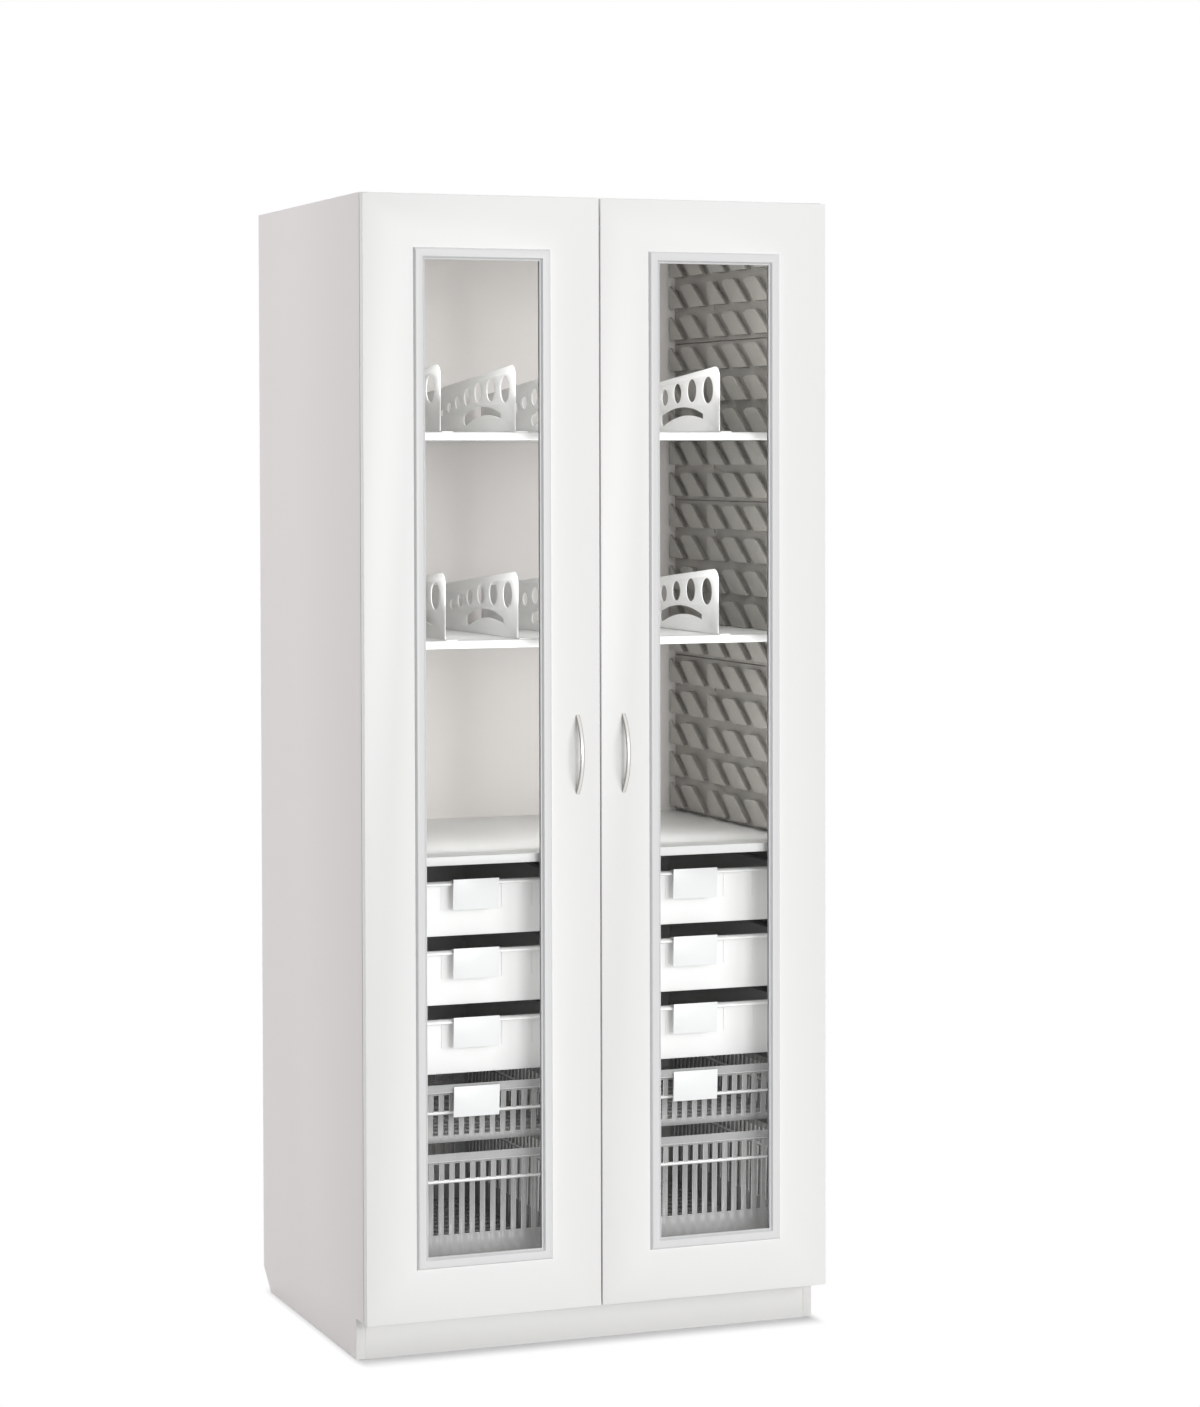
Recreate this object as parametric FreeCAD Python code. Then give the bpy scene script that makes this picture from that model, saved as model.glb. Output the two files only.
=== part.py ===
import FreeCAD
import Part
import math
import os
from FreeCAD import Vector

# Modular storage cabinet with two framed glass doors.
# Above the worktop, two shelves with perforated dividers sit in slanted guide panels.
# Below it, trays and baskets slide in the same kind of panels, in two bays.
# Millimetres, +Z up, front faces -Y. The origin is on the floor, at the middle of the
# cabinet's width and of its depth from the handles to the back.

# Driving sizes: the standard storage tray sets the cabinet's width and depth
TRAY_WIDTH = 400.0
TRAY_LENGTH = 600.0
CABINET_HEIGHT = 2100.0
BOARD = 18.0
BACK_BOARD = 8.0
BACK_REBATE = 9.0
PLINTH_HEIGHT = 75.0
PLINTH_SETBACK = 45.0
SKIRTING_HEIGHT = 42.0
SKIRTING_DEPTH = 50.0
REAR_RAIL_INSET = 60.0
WORKTOP_THICKNESS = 16.0
WORKTOP_OVER_ROWS = 26.5
WORKTOP_SETBACK = 3.0

# Doors
DOOR_THICKNESS = 18.0
DOOR_TO_CARCASS = 3.0
DOOR_SEAM = 3.0
DOOR_TOP_REVEAL = 3.0
WINDOW_INSET = 94.0
MOULDING_WIDTH = 21.5
MOULDING_LAP = 8.0
MOULDING_PROUD = 6.5
GLASS_THICKNESS = 4.0
GLASS_SETBACK = 9.0
GLASS_CLEARANCE = 1.0
BEAD_WIDTH = 11.0

# Bow handles
HANDLE_LENGTH = 150.0
HANDLE_PROJECTION = 28.0
HANDLE_BAR_WIDTH = 10.0
HANDLE_BAR_THICKNESS = 7.0
HANDLE_FROM_SEAM = 45.0
HANDLE_CENTRE_Z = 1086.0

# Concealed hinges
HINGE_COUNT = 4
HINGE_FROM_BOTTOM = 115.0
HINGE_FROM_TOP = 110.0
CUP_RADIUS = 17.5
CUP_EDGE_DISTANCE = 5.0
CUP_FLANGE_LENGTH = 60.0
CUP_FLANGE_THICKNESS = 1.5
HINGE_PLATE_FROM_FRONT = 20.0
HINGE_PLATE_DEPTH = 26.0
HINGE_PLATE_THICKNESS = 3.0
HINGE_ARM_HEIGHT = 24.0
HINGE_CLEARANCE = 0.3
HINGE_ARM_THICKNESS = 14.0

# Slanted guide panels
GUIDE_PLATE = 10.0
GUIDE_PAD = 17.0
GUIDE_ROW_PITCH = 63.0
GUIDE_ROWS_PER_MODULE = 5
LOWER_GUIDE_ROWS = 12
GUIDE_EDGE = 7.5
GUIDE_SEAM = 0.6
GUIDE_TOP_CLEARANCE = 5.0
UPPER_GUIDE_FOOT = 3.0
LOWER_GUIDE_FOOT = 9.5
FOOT_LENGTH = 16.0
PAD_HEIGHT = 47.0
PAD_PITCH = 107.0
PAD_WIDTH = 71.0
PAD_SLANT = 66.0
PAD_TOP_NARROWING = 7.0
PAD_REAR_MARGIN = 11.5
PAD_FRONT_MARGIN = 3.0
PAD_BEHIND_KEYHOLE = 208.0

# Shelves and their dividers
SHELF_SHEET = 1.5
SHELF_HEIGHT = 15.0
SHELF_RETURN = 14.0
SHELF_SIDE_CLEARANCE = 2.0
UPPER_SHELF_ROW = 11
LOWER_SHELF_ROW = 5
DIVIDER_SHEET = 1.5
DIVIDER_REAR_GAP = 20.0
DIVIDER_HEIGHT = 126.0
DIVIDER_FALL = 0.0848
DIVIDER_CORNER = 28.0
DIVIDER_FOOT = 25.0
DIVIDER_PLACES_UPPER = (-284.0, -140.0, -4.0, 264.0)
DIVIDER_PLACES_LOWER = (-276.0, -136.0, -4.0, 261.0)
HOLE_COUNT = 7
HOLE_SIDES = 14
HOLE_FIRST = 55.0
HOLE_FIRST_PITCH = 79.0
HOLE_PITCH_STEP = 7.6
HOLE_FIRST_DIAMETER = 50.0
HOLE_DIAMETER_STEP = 6.3
HOLE_ARC_RADIUS = 1282.0
HOLE_ARC_PLACE = 95.0
HOLE_ARC_HEIGHT = 80.0
GRIP_FRONT = 79.0
GRIP_REAR = 275.0
GRIP_FRONT_LOW = 25.0
GRIP_FRONT_HIGH = 35.0
GRIP_REAR_LOW = 13.5
GRIP_REAR_HIGH = 36.0
GRIP_CROWN_LOW = 32.0
GRIP_CROWN_HIGH = 48.5
GRIP_REAR_BULGE = 12.0

# Trays and baskets
TRAY_SETBACK = 47.0
TRAY_TO_BACK = 4.0
TRAY_HEIGHT = 100.0
DEEP_BASKET_HEIGHT = 202.0
TRAY_WALL = 2.5
TRAY_FLOOR = 3.0
TRAY_DRAFT = 3.0
TRAY_RIM_HEIGHT = 6.0
TRAY_RIM_CHAMFER = 7.0
TRAY_BODY_CHAMFER = 6.0
TRAY_SIDE_CLEARANCE = 1.5
TRAY_REST_CLEARANCE = 0.3
BASKET_SLOT_COUNT = 9
BASKET_SLOT_WIDTH = 22.0
BASKET_SLOT_PITCH = 38.0
BASKET_SLOT_TOP = 12.0
BASKET_RIB_BELOW_RIM = 46.0
BASKET_RIB_HEIGHT = 6.0
BASKET_SLOT_BOTTOM = 12.0
DEEP_SLOT_BOTTOM = 58.0
DRAWER_ROWS = (("tray_top", 11), ("tray_middle", 9), ("tray_low", 7), ("basket", 5), ("deep_basket", 3))

# Label holders hooked over the drawers' front rims
LABEL_WIDTH = 88.0
LABEL_HEIGHT = 62.0
LABEL_SHEET = 2.0
LABEL_ABOVE_RIM = 6.0
LABEL_LEAN = 8.0
LABEL_HOOK = 9.0
LABEL_SHIFT_RIGHT = -9.5

# Planes and lengths that the pieces share
BAY_WIDTH = TRAY_WIDTH + 2 * (TRAY_SIDE_CLEARANCE + GUIDE_PLATE)
HALF_WIDTH = BAY_WIDTH + 1.5 * BOARD
CABINET_DEPTH = DOOR_THICKNESS + DOOR_TO_CARCASS + TRAY_SETBACK + TRAY_LENGTH + TRAY_TO_BACK + BACK_BOARD
INNER_SIDE = HALF_WIDTH - BOARD
DOOR_FRONT = (HANDLE_PROJECTION - CABINET_DEPTH) / 2
DOOR_INNER = DOOR_FRONT + DOOR_THICKNESS
CARCASS_FRONT = DOOR_INNER + DOOR_TO_CARCASS
CABINET_BACK = DOOR_FRONT + CABINET_DEPTH
BACK_INNER = CABINET_BACK - BACK_BOARD
FLOOR_TOP = PLINTH_HEIGHT + BOARD
CEILING = CABINET_HEIGHT - BOARD
DOOR_BOTTOM = PLINTH_HEIGHT
DOOR_TOP = CABINET_HEIGHT - DOOR_TOP_REVEAL
TRAY_FRONT = CARCASS_FRONT + TRAY_SETBACK
GUIDE_FRONT = BACK_INNER - TRAY_LENGTH
DIVIDER_LENGTH = TRAY_LENGTH - DIVIDER_REAR_GAP
LOWER_FIRST_PAD = FLOOR_TOP + LOWER_GUIDE_FOOT + GUIDE_EDGE
WORKTOP_BOTTOM = LOWER_FIRST_PAD + LOWER_GUIDE_ROWS * GUIDE_ROW_PITCH + WORKTOP_OVER_ROWS
WORKTOP_TOP = WORKTOP_BOTTOM + WORKTOP_THICKNESS
UPPER_FIRST_PAD = WORKTOP_TOP + UPPER_GUIDE_FOOT + GUIDE_EDGE
MODULE_HEIGHT = GUIDE_ROWS_PER_MODULE * GUIDE_ROW_PITCH

SIDES = {"left": -1, "right": 1}


def box(x_low, x_high, y_low, y_high, z_low, z_high):
    return Part.makeBox(x_high - x_low, y_high - y_low, z_high - z_low, Vector(x_low, y_low, z_low))


def polygon_prism(points, travel):
    """A flat outline through the points, pushed along the travel vector."""
    return Part.Face(Part.makePolygon(points + points[:1])).extrude(travel)


def chamfered_outline(x_centre, y_low, half_width, length, chamfer, z):
    """A closed wire round a rectangle with cut corners, at height z."""
    x_low = x_centre - half_width
    x_high = x_centre + half_width
    y_high = y_low + length
    points = [
        Vector(x_low + chamfer, y_low, z),
        Vector(x_high - chamfer, y_low, z),
        Vector(x_high, y_low + chamfer, z),
        Vector(x_high, y_high - chamfer, z),
        Vector(x_high - chamfer, y_high, z),
        Vector(x_low + chamfer, y_high, z),
        Vector(x_low, y_high - chamfer, z),
        Vector(x_low, y_low + chamfer, z),
    ]
    return Part.makePolygon(points + points[:1])


def drafted_block(x_centre, y_low, half_width, length, chamfer, z_low, z_high, draft):
    """A block with cut corners whose walls lean in by the draft at its foot."""
    top = chamfered_outline(x_centre, y_low, half_width, length, chamfer, z_high)
    foot = chamfered_outline(x_centre, y_low + draft, half_width - draft, length - 2 * draft, chamfer, z_low)
    return Part.makeLoft([foot, top], True, True)


def picture_frame(x_low, x_high, z_low, z_high, section):
    """Four mitred bars: each carries the section's (inset, y) points along one side of the rectangle."""
    corners = (
        (x_low, z_low, 1, 1),
        (x_high, z_low, -1, 1),
        (x_high, z_high, -1, -1),
        (x_low, z_high, 1, -1),
    )
    rings = []
    for x, z, inward_x, inward_z in corners:
        rings.append([Vector(x + inward_x * inset, y, z + inward_z * inset) for inset, y in section])
    faces = []
    for start, end in zip(rings, rings[1:] + rings[:1]):
        for index in range(len(section)):
            following = (index + 1) % len(section)
            quad = [start[index], end[index], end[following], start[following]]
            faces.append(Part.Face(Part.makePolygon(quad + quad[:1])))
    return Part.makeSolid(Part.makeShell(faces))


def side_panel(side):
    """A full-height side with a toe notch, a skirting chamfer and the back panel's rebate."""
    outline = [
        (CARCASS_FRONT + PLINTH_SETBACK, 0.0),
        (CABINET_BACK - SKIRTING_DEPTH, 0.0),
        (CABINET_BACK, SKIRTING_HEIGHT),
        (CABINET_BACK, CABINET_HEIGHT),
        (CARCASS_FRONT, CABINET_HEIGHT),
        (CARCASS_FRONT, PLINTH_HEIGHT),
        (CARCASS_FRONT + PLINTH_SETBACK, PLINTH_HEIGHT),
    ]
    points = [Vector(side * INNER_SIDE, y, z) for y, z in outline]
    panel = polygon_prism(points, Vector(side * BOARD, 0, 0))
    rebate_x = sorted((side * INNER_SIDE, side * (INNER_SIDE + BACK_REBATE)))
    return panel.cut(box(*rebate_x, BACK_INNER, CABINET_BACK, PLINTH_HEIGHT, CABINET_HEIGHT))


def carcass():
    rail_back = CABINET_BACK - REAR_RAIL_INSET
    plinth_front = CARCASS_FRONT + PLINTH_SETBACK
    worktop_front = CARCASS_FRONT + WORKTOP_SETBACK
    return {
        "side_panel_left": side_panel(-1),
        "side_panel_right": side_panel(1),
        "top_panel": box(-INNER_SIDE, INNER_SIDE, CARCASS_FRONT, BACK_INNER, CEILING, CABINET_HEIGHT),
        "bottom_panel": box(-INNER_SIDE, INNER_SIDE, CARCASS_FRONT, BACK_INNER, PLINTH_HEIGHT, FLOOR_TOP),
        "back_panel": box(
            -INNER_SIDE - BACK_REBATE, INNER_SIDE + BACK_REBATE,
            BACK_INNER, CABINET_BACK, PLINTH_HEIGHT, CABINET_HEIGHT,
        ),
        "plinth_board": box(-INNER_SIDE, INNER_SIDE, plinth_front, plinth_front + BOARD, 0.0, PLINTH_HEIGHT),
        "rear_rail": box(-INNER_SIDE, INNER_SIDE, rail_back - BOARD, rail_back, 0.0, PLINTH_HEIGHT),
        "worktop_shelf": box(
            -INNER_SIDE, INNER_SIDE, worktop_front, BACK_INNER, WORKTOP_BOTTOM, WORKTOP_TOP,
        ),
        "centre_partition": box(
            -BOARD / 2, BOARD / 2, worktop_front, BACK_INNER, FLOOR_TOP, WORKTOP_BOTTOM,
        ),
    }


def slanted_pad(number, x_wall, inward, z_low):
    """One guide pad: it leans from its rear top to its front foot, and ends at the panel's margins."""
    foot_front = BACK_INNER - PAD_REAR_MARGIN - PAD_WIDTH - number * PAD_PITCH
    outline = [
        (foot_front, z_low),
        (foot_front + PAD_WIDTH, z_low),
        (foot_front + PAD_WIDTH + PAD_SLANT - PAD_TOP_NARROWING, z_low + PAD_HEIGHT),
        (foot_front + PAD_SLANT, z_low + PAD_HEIGHT),
    ]
    plate_face = x_wall + inward * GUIDE_PLATE
    points = [Vector(plate_face, y, z) for y, z in outline]
    pad = polygon_prism(points, Vector(inward * GUIDE_PAD, 0, 0))
    front_limit = GUIDE_FRONT + PAD_FRONT_MARGIN
    rear_limit = BACK_INNER - PAD_REAR_MARGIN
    if number == 2:
        rear_limit = BACK_INNER - PAD_BEHIND_KEYHOLE
    if foot_front >= front_limit and outline[2][0] <= rear_limit:
        return pad
    reach = sorted((plate_face, plate_face + inward * GUIDE_PAD))
    return pad.common(box(*reach, front_limit, rear_limit, z_low, z_low + PAD_HEIGHT))


def ledge(x_wall, inward, z_low):
    """One unbroken guide ledge, for the panels that the drawers hide."""
    plate_face = x_wall + inward * GUIDE_PLATE
    reach = sorted((plate_face, plate_face + inward * GUIDE_PAD))
    front = GUIDE_FRONT + PAD_FRONT_MARGIN
    return box(*reach, front, BACK_INNER - PAD_REAR_MARGIN, z_low, z_low + PAD_HEIGHT)


def guide_panel(x_wall, inward, foot_z, foot_height, ceiling, slanted):
    """Moulded modules stacked up a wall, each with rows of pads that carry shelf and drawer rims."""
    modules = []
    plate_x = sorted((x_wall, x_wall + inward * GUIDE_PLATE))
    module_low = foot_z + foot_height
    panel_top = ceiling - GUIDE_TOP_CLEARANCE
    pad_count = math.ceil((TRAY_LENGTH - PAD_REAR_MARGIN - PAD_FRONT_MARGIN - PAD_WIDTH) / PAD_PITCH) + 1
    while module_low + GUIDE_EDGE + PAD_HEIGHT < panel_top:
        module_high = min(module_low + MODULE_HEIGHT - GUIDE_SEAM, panel_top)
        plate = box(*plate_x, GUIDE_FRONT, BACK_INNER, module_low, module_high)
        pads = []
        for row in range(GUIDE_ROWS_PER_MODULE):
            pad_low = module_low + GUIDE_EDGE + row * GUIDE_ROW_PITCH
            if pad_low + PAD_HEIGHT > module_high:
                break
            if slanted:
                pads += [slanted_pad(number, x_wall, inward, pad_low) for number in range(pad_count)]
            else:
                pads.append(ledge(x_wall, inward, pad_low))
        if not modules:
            for y in (GUIDE_FRONT, BACK_INNER - FOOT_LENGTH):
                pads.append(box(*plate_x, y, y + FOOT_LENGTH, foot_z, module_low))
        modules.append(plate.multiFuse(pads))
        module_low += MODULE_HEIGHT
    return Part.makeCompound(modules)


def guide_panels():
    panels = {}
    for side_name, side in SIDES.items():
        panels["guide_panel_upper_" + side_name] = guide_panel(
            side * INNER_SIDE, -side, WORKTOP_TOP, UPPER_GUIDE_FOOT, CEILING, True,
        )
        panels["guide_panel_lower_" + side_name + "_outer"] = guide_panel(
            side * INNER_SIDE, -side, FLOOR_TOP, LOWER_GUIDE_FOOT, WORKTOP_BOTTOM, False,
        )
        panels["guide_panel_lower_" + side_name + "_inner"] = guide_panel(
            side * BOARD / 2, side, FLOOR_TOP, LOWER_GUIDE_FOOT, WORKTOP_BOTTOM, False,
        )
    return panels


def upper_pad_top(row):
    return UPPER_FIRST_PAD + row * GUIDE_ROW_PITCH + PAD_HEIGHT


def lower_pad_top(row):
    return LOWER_FIRST_PAD + row * GUIDE_ROW_PITCH + PAD_HEIGHT


def shelf(row):
    """A folded sheet shelf whose ends rest on one row of pads."""
    reach = INNER_SIDE - GUIDE_PLATE - SHELF_SIDE_CLEARANCE
    low = upper_pad_top(row)
    high = low + SHELF_HEIGHT
    back = TRAY_FRONT + TRAY_LENGTH
    tray = box(-reach, reach, TRAY_FRONT, back, low, high)
    under = box(
        -reach + SHELF_SHEET, reach - SHELF_SHEET,
        TRAY_FRONT + SHELF_SHEET, back - SHELF_SHEET, low, high - SHELF_SHEET,
    )
    returns = [
        box(-reach, reach, TRAY_FRONT, TRAY_FRONT + SHELF_RETURN, low, low + SHELF_SHEET),
        box(-reach, reach, back - SHELF_RETURN, back, low, low + SHELF_SHEET),
    ]
    return tray.cut(under).multiFuse(returns).removeSplitter()


def divider_outline(x, low):
    """The divider's edge: a tall front with a round corner, and a top that falls to the rear."""
    front = TRAY_FRONT
    back = front + DIVIDER_LENGTH
    fall = math.atan(DIVIDER_FALL)
    tangent = DIVIDER_CORNER * math.tan((math.pi / 2 - fall) / 2)
    corner = Vector(x, front, low + DIVIDER_HEIGHT)
    arc_start = corner - Vector(0, 0, tangent)
    arc_end = corner + Vector(0, tangent * math.cos(fall), -tangent * math.sin(fall))
    centre = arc_start + Vector(0, DIVIDER_CORNER, 0)
    toward = (corner - centre).normalize() * DIVIDER_CORNER
    rear_top = Vector(x, back, low + DIVIDER_HEIGHT - DIVIDER_LENGTH * DIVIDER_FALL)
    edges = [
        Part.LineSegment(Vector(x, front, low), arc_start).toShape(),
        Part.Arc(arc_start, centre + toward, arc_end).toShape(),
        Part.LineSegment(arc_end, rear_top).toShape(),
        Part.LineSegment(rear_top, Vector(x, back, low)).toShape(),
        Part.LineSegment(Vector(x, back, low), Vector(x, front, low)).toShape(),
    ]
    return Part.Wire(edges)


def grip_outline(x, low):
    """The curved hand slot near the divider's foot."""
    def at(place, height):
        return Vector(x, TRAY_FRONT + place, low + height)

    middle = (GRIP_FRONT + GRIP_REAR) / 2
    front_low = at(GRIP_FRONT, GRIP_FRONT_LOW)
    front_high = at(GRIP_FRONT, GRIP_FRONT_HIGH)
    rear_low = at(GRIP_REAR, GRIP_REAR_LOW)
    rear_high = at(GRIP_REAR, GRIP_REAR_HIGH)
    rear_bulge = at(GRIP_REAR + GRIP_REAR_BULGE, (GRIP_REAR_LOW + GRIP_REAR_HIGH) / 2)
    return Part.Wire([
        Part.LineSegment(front_low, front_high).toShape(),
        Part.Arc(front_high, at(middle, GRIP_CROWN_HIGH), rear_high).toShape(),
        Part.Arc(rear_high, rear_bulge, rear_low).toShape(),
        Part.Arc(rear_low, at(middle, GRIP_CROWN_LOW), front_low).toShape(),
    ])


def hole_outline(centre, radius):
    """The points round a punched hole, enough of them to read as round at its size."""
    step = 2 * math.pi / HOLE_SIDES
    return [
        centre + Vector(0, radius * math.cos(number * step), radius * math.sin(number * step))
        for number in range(HOLE_SIDES)
    ]


def divider(x, row):
    """A bent sheet: holes that shrink along a shallow arc, a hand slot and a foot on the shelf."""
    low = upper_pad_top(row) + SHELF_HEIGHT
    thickness = Vector(DIVIDER_SHEET, 0, 0)
    sheet = Part.Face(divider_outline(x, low)).extrude(thickness)
    cutters = [Part.Face(grip_outline(x, low)).extrude(thickness)]
    place = HOLE_FIRST
    for number in range(HOLE_COUNT):
        sag = (place - HOLE_ARC_PLACE) ** 2 / (2 * HOLE_ARC_RADIUS)
        centre = Vector(x, TRAY_FRONT + place, low + HOLE_ARC_HEIGHT - sag)
        radius = (HOLE_FIRST_DIAMETER - number * HOLE_DIAMETER_STEP) / 2
        cutters.append(polygon_prism(hole_outline(centre, radius), thickness))
        place += HOLE_FIRST_PITCH - number * HOLE_PITCH_STEP
    foot = box(x, x + DIVIDER_FOOT, TRAY_FRONT, TRAY_FRONT + DIVIDER_LENGTH, low, low + DIVIDER_SHEET)
    return sheet.cut(cutters).fuse(foot).removeSplitter()


def shelves():
    pieces = {}
    for level, row, places in (
        ("upper", UPPER_SHELF_ROW, DIVIDER_PLACES_UPPER),
        ("lower", LOWER_SHELF_ROW, DIVIDER_PLACES_LOWER),
    ):
        pieces["shelf_" + level] = shelf(row)
        for number, x in enumerate(places, 1):
            pieces["divider_" + level + "_" + str(number)] = divider(x, row)
    return pieces


def tray_body(x_centre, rim_top, height):
    """A drawer shell: a rim that rides on the pads, and drafted walls between them."""
    rim_half = TRAY_WIDTH / 2
    rim_reach = GUIDE_PAD
    low = rim_top - height
    rim = drafted_block(
        x_centre, TRAY_FRONT, rim_half, TRAY_LENGTH, TRAY_RIM_CHAMFER,
        rim_top - TRAY_RIM_HEIGHT, rim_top, 0.0,
    )
    body_half = rim_half - rim_reach
    body_front = TRAY_FRONT + rim_reach
    body_length = TRAY_LENGTH - 2 * rim_reach
    body = drafted_block(
        x_centre, body_front, body_half, body_length, TRAY_BODY_CHAMFER, low, rim_top, TRAY_DRAFT,
    )
    inside = drafted_block(
        x_centre, body_front + TRAY_WALL, body_half - TRAY_WALL, body_length - 2 * TRAY_WALL,
        TRAY_BODY_CHAMFER - TRAY_WALL, low + TRAY_FLOOR, rim_top, TRAY_DRAFT,
    )
    return rim.fuse(body).cut(inside)


def basket_body(x_centre, rim_top, height, slot_bottom):
    """A drawer shell whose front wall has two rows of upright slots, one over and one under a rib."""
    shell = tray_body(x_centre, rim_top, height)
    wall_front = TRAY_FRONT + GUIDE_PAD
    wall_back = wall_front + TRAY_DRAFT + TRAY_WALL
    low = rim_top - height
    rib_middle = rim_top - BASKET_RIB_BELOW_RIM
    rows = (
        (rib_middle + BASKET_RIB_HEIGHT / 2, rim_top - BASKET_SLOT_TOP),
        (low + slot_bottom, rib_middle - BASKET_RIB_HEIGHT / 2),
    )
    first = x_centre - (BASKET_SLOT_COUNT - 1) / 2 * BASKET_SLOT_PITCH
    slots = []
    for number in range(BASKET_SLOT_COUNT):
        left = first + number * BASKET_SLOT_PITCH - BASKET_SLOT_WIDTH / 2
        for slot_low, slot_high in rows:
            slots.append(box(left, left + BASKET_SLOT_WIDTH, wall_front, wall_back, slot_low, slot_high))
    return shell.cut(slots)


def label_holder(x_centre, rim_top):
    """A leaning card holder hooked over the rim."""
    top = rim_top + LABEL_ABOVE_RIM
    foot_y = TRAY_FRONT - LABEL_LEAN - LABEL_SHEET
    head_y = TRAY_FRONT - LABEL_SHEET
    outline = [
        (head_y, top),
        (foot_y, top - LABEL_HEIGHT),
        (foot_y + LABEL_SHEET, top - LABEL_HEIGHT),
        (TRAY_FRONT, rim_top - TRAY_RIM_HEIGHT),
        (TRAY_FRONT, rim_top),
        (TRAY_FRONT + LABEL_HOOK, rim_top),
        (TRAY_FRONT + LABEL_HOOK, rim_top + LABEL_SHEET),
        (TRAY_FRONT, rim_top + LABEL_SHEET),
        (TRAY_FRONT, top),
    ]
    points = [Vector(x_centre - LABEL_WIDTH / 2, y, z) for y, z in outline]
    return polygon_prism(points, Vector(LABEL_WIDTH, 0, 0))


def drawers():
    pieces = {}
    for side_name, side in SIDES.items():
        x_centre = side * (BOARD + BAY_WIDTH) / 2
        label_x = x_centre + (LABEL_SHIFT_RIGHT if side > 0 else 0.0)
        for kind, row in DRAWER_ROWS:
            rim_top = lower_pad_top(row) + TRAY_REST_CLEARANCE + TRAY_RIM_HEIGHT
            name = kind + "_" + side_name
            if kind == "basket":
                pieces[name] = basket_body(x_centre, rim_top, TRAY_HEIGHT, BASKET_SLOT_BOTTOM)
            elif kind == "deep_basket":
                pieces[name] = basket_body(x_centre, rim_top, DEEP_BASKET_HEIGHT, DEEP_SLOT_BOTTOM)
            else:
                pieces[name] = tray_body(x_centre, rim_top, TRAY_HEIGHT)
            if kind != "deep_basket":
                pieces["label_" + name] = label_holder(label_x, rim_top)
    return pieces


def hinge_heights():
    low = DOOR_BOTTOM + HINGE_FROM_BOTTOM
    step = (DOOR_TOP - HINGE_FROM_TOP - low) / (HINGE_COUNT - 1)
    return [low + number * step for number in range(HINGE_COUNT)]


def hinge_arms(side):
    """Stepped hinge bodies: a mounting plate on the side panel, and an arm that reaches to the door."""
    plate_front = CARCASS_FRONT + HINGE_PLATE_FROM_FRONT
    arm_front = DOOR_INNER + CUP_FLANGE_THICKNESS + HINGE_CLEARANCE
    plate_x = side * (INNER_SIDE - HINGE_PLATE_THICKNESS)
    arm_x = side * (INNER_SIDE - HINGE_ARM_THICKNESS)
    outline = [
        (side * INNER_SIDE, arm_front),
        (arm_x, arm_front),
        (arm_x, plate_front),
        (plate_x, plate_front + HINGE_PLATE_DEPTH),
        (side * INNER_SIDE, plate_front + HINGE_PLATE_DEPTH),
    ]
    arms = []
    for z in hinge_heights():
        points = [Vector(x, y, z - HINGE_ARM_HEIGHT / 2) for x, y in outline]
        arms.append(polygon_prism(points, Vector(0, 0, HINGE_ARM_HEIGHT)))
    return Part.makeCompound(arms)


def hinge_flanges(side):
    """The cups' flanges, flat on the door's inner face. The cups below them are closed in."""
    flanges = []
    centre_x = side * (HALF_WIDTH - CUP_EDGE_DISTANCE - CUP_RADIUS)
    for z in hinge_heights():
        flanges.append(box(
            centre_x - CUP_RADIUS, centre_x + CUP_RADIUS, DOOR_INNER, DOOR_INNER + CUP_FLANGE_THICKNESS,
            z - CUP_FLANGE_LENGTH / 2, z + CUP_FLANGE_LENGTH / 2,
        ))
    return Part.makeCompound(flanges)


def bow_handle(x):
    """A bow: a bar between two arcs, with its ends flat on the door."""
    half = HANDLE_LENGTH / 2
    inner_half = half - 2 * HANDLE_BAR_THICKNESS
    inner_rise = HANDLE_PROJECTION - HANDLE_BAR_THICKNESS
    left = x - HANDLE_BAR_WIDTH / 2

    def at(out, along):
        return Vector(left, DOOR_FRONT - out, HANDLE_CENTRE_Z + along)

    outline = Part.Wire([
        Part.Arc(at(0, -half), at(HANDLE_PROJECTION, 0), at(0, half)).toShape(),
        Part.LineSegment(at(0, half), at(0, inner_half)).toShape(),
        Part.Arc(at(0, inner_half), at(inner_rise, 0), at(0, -inner_half)).toShape(),
        Part.LineSegment(at(0, -inner_half), at(0, -half)).toShape(),
    ])
    return Part.Face(outline).extrude(Vector(HANDLE_BAR_WIDTH, 0, 0))


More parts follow.
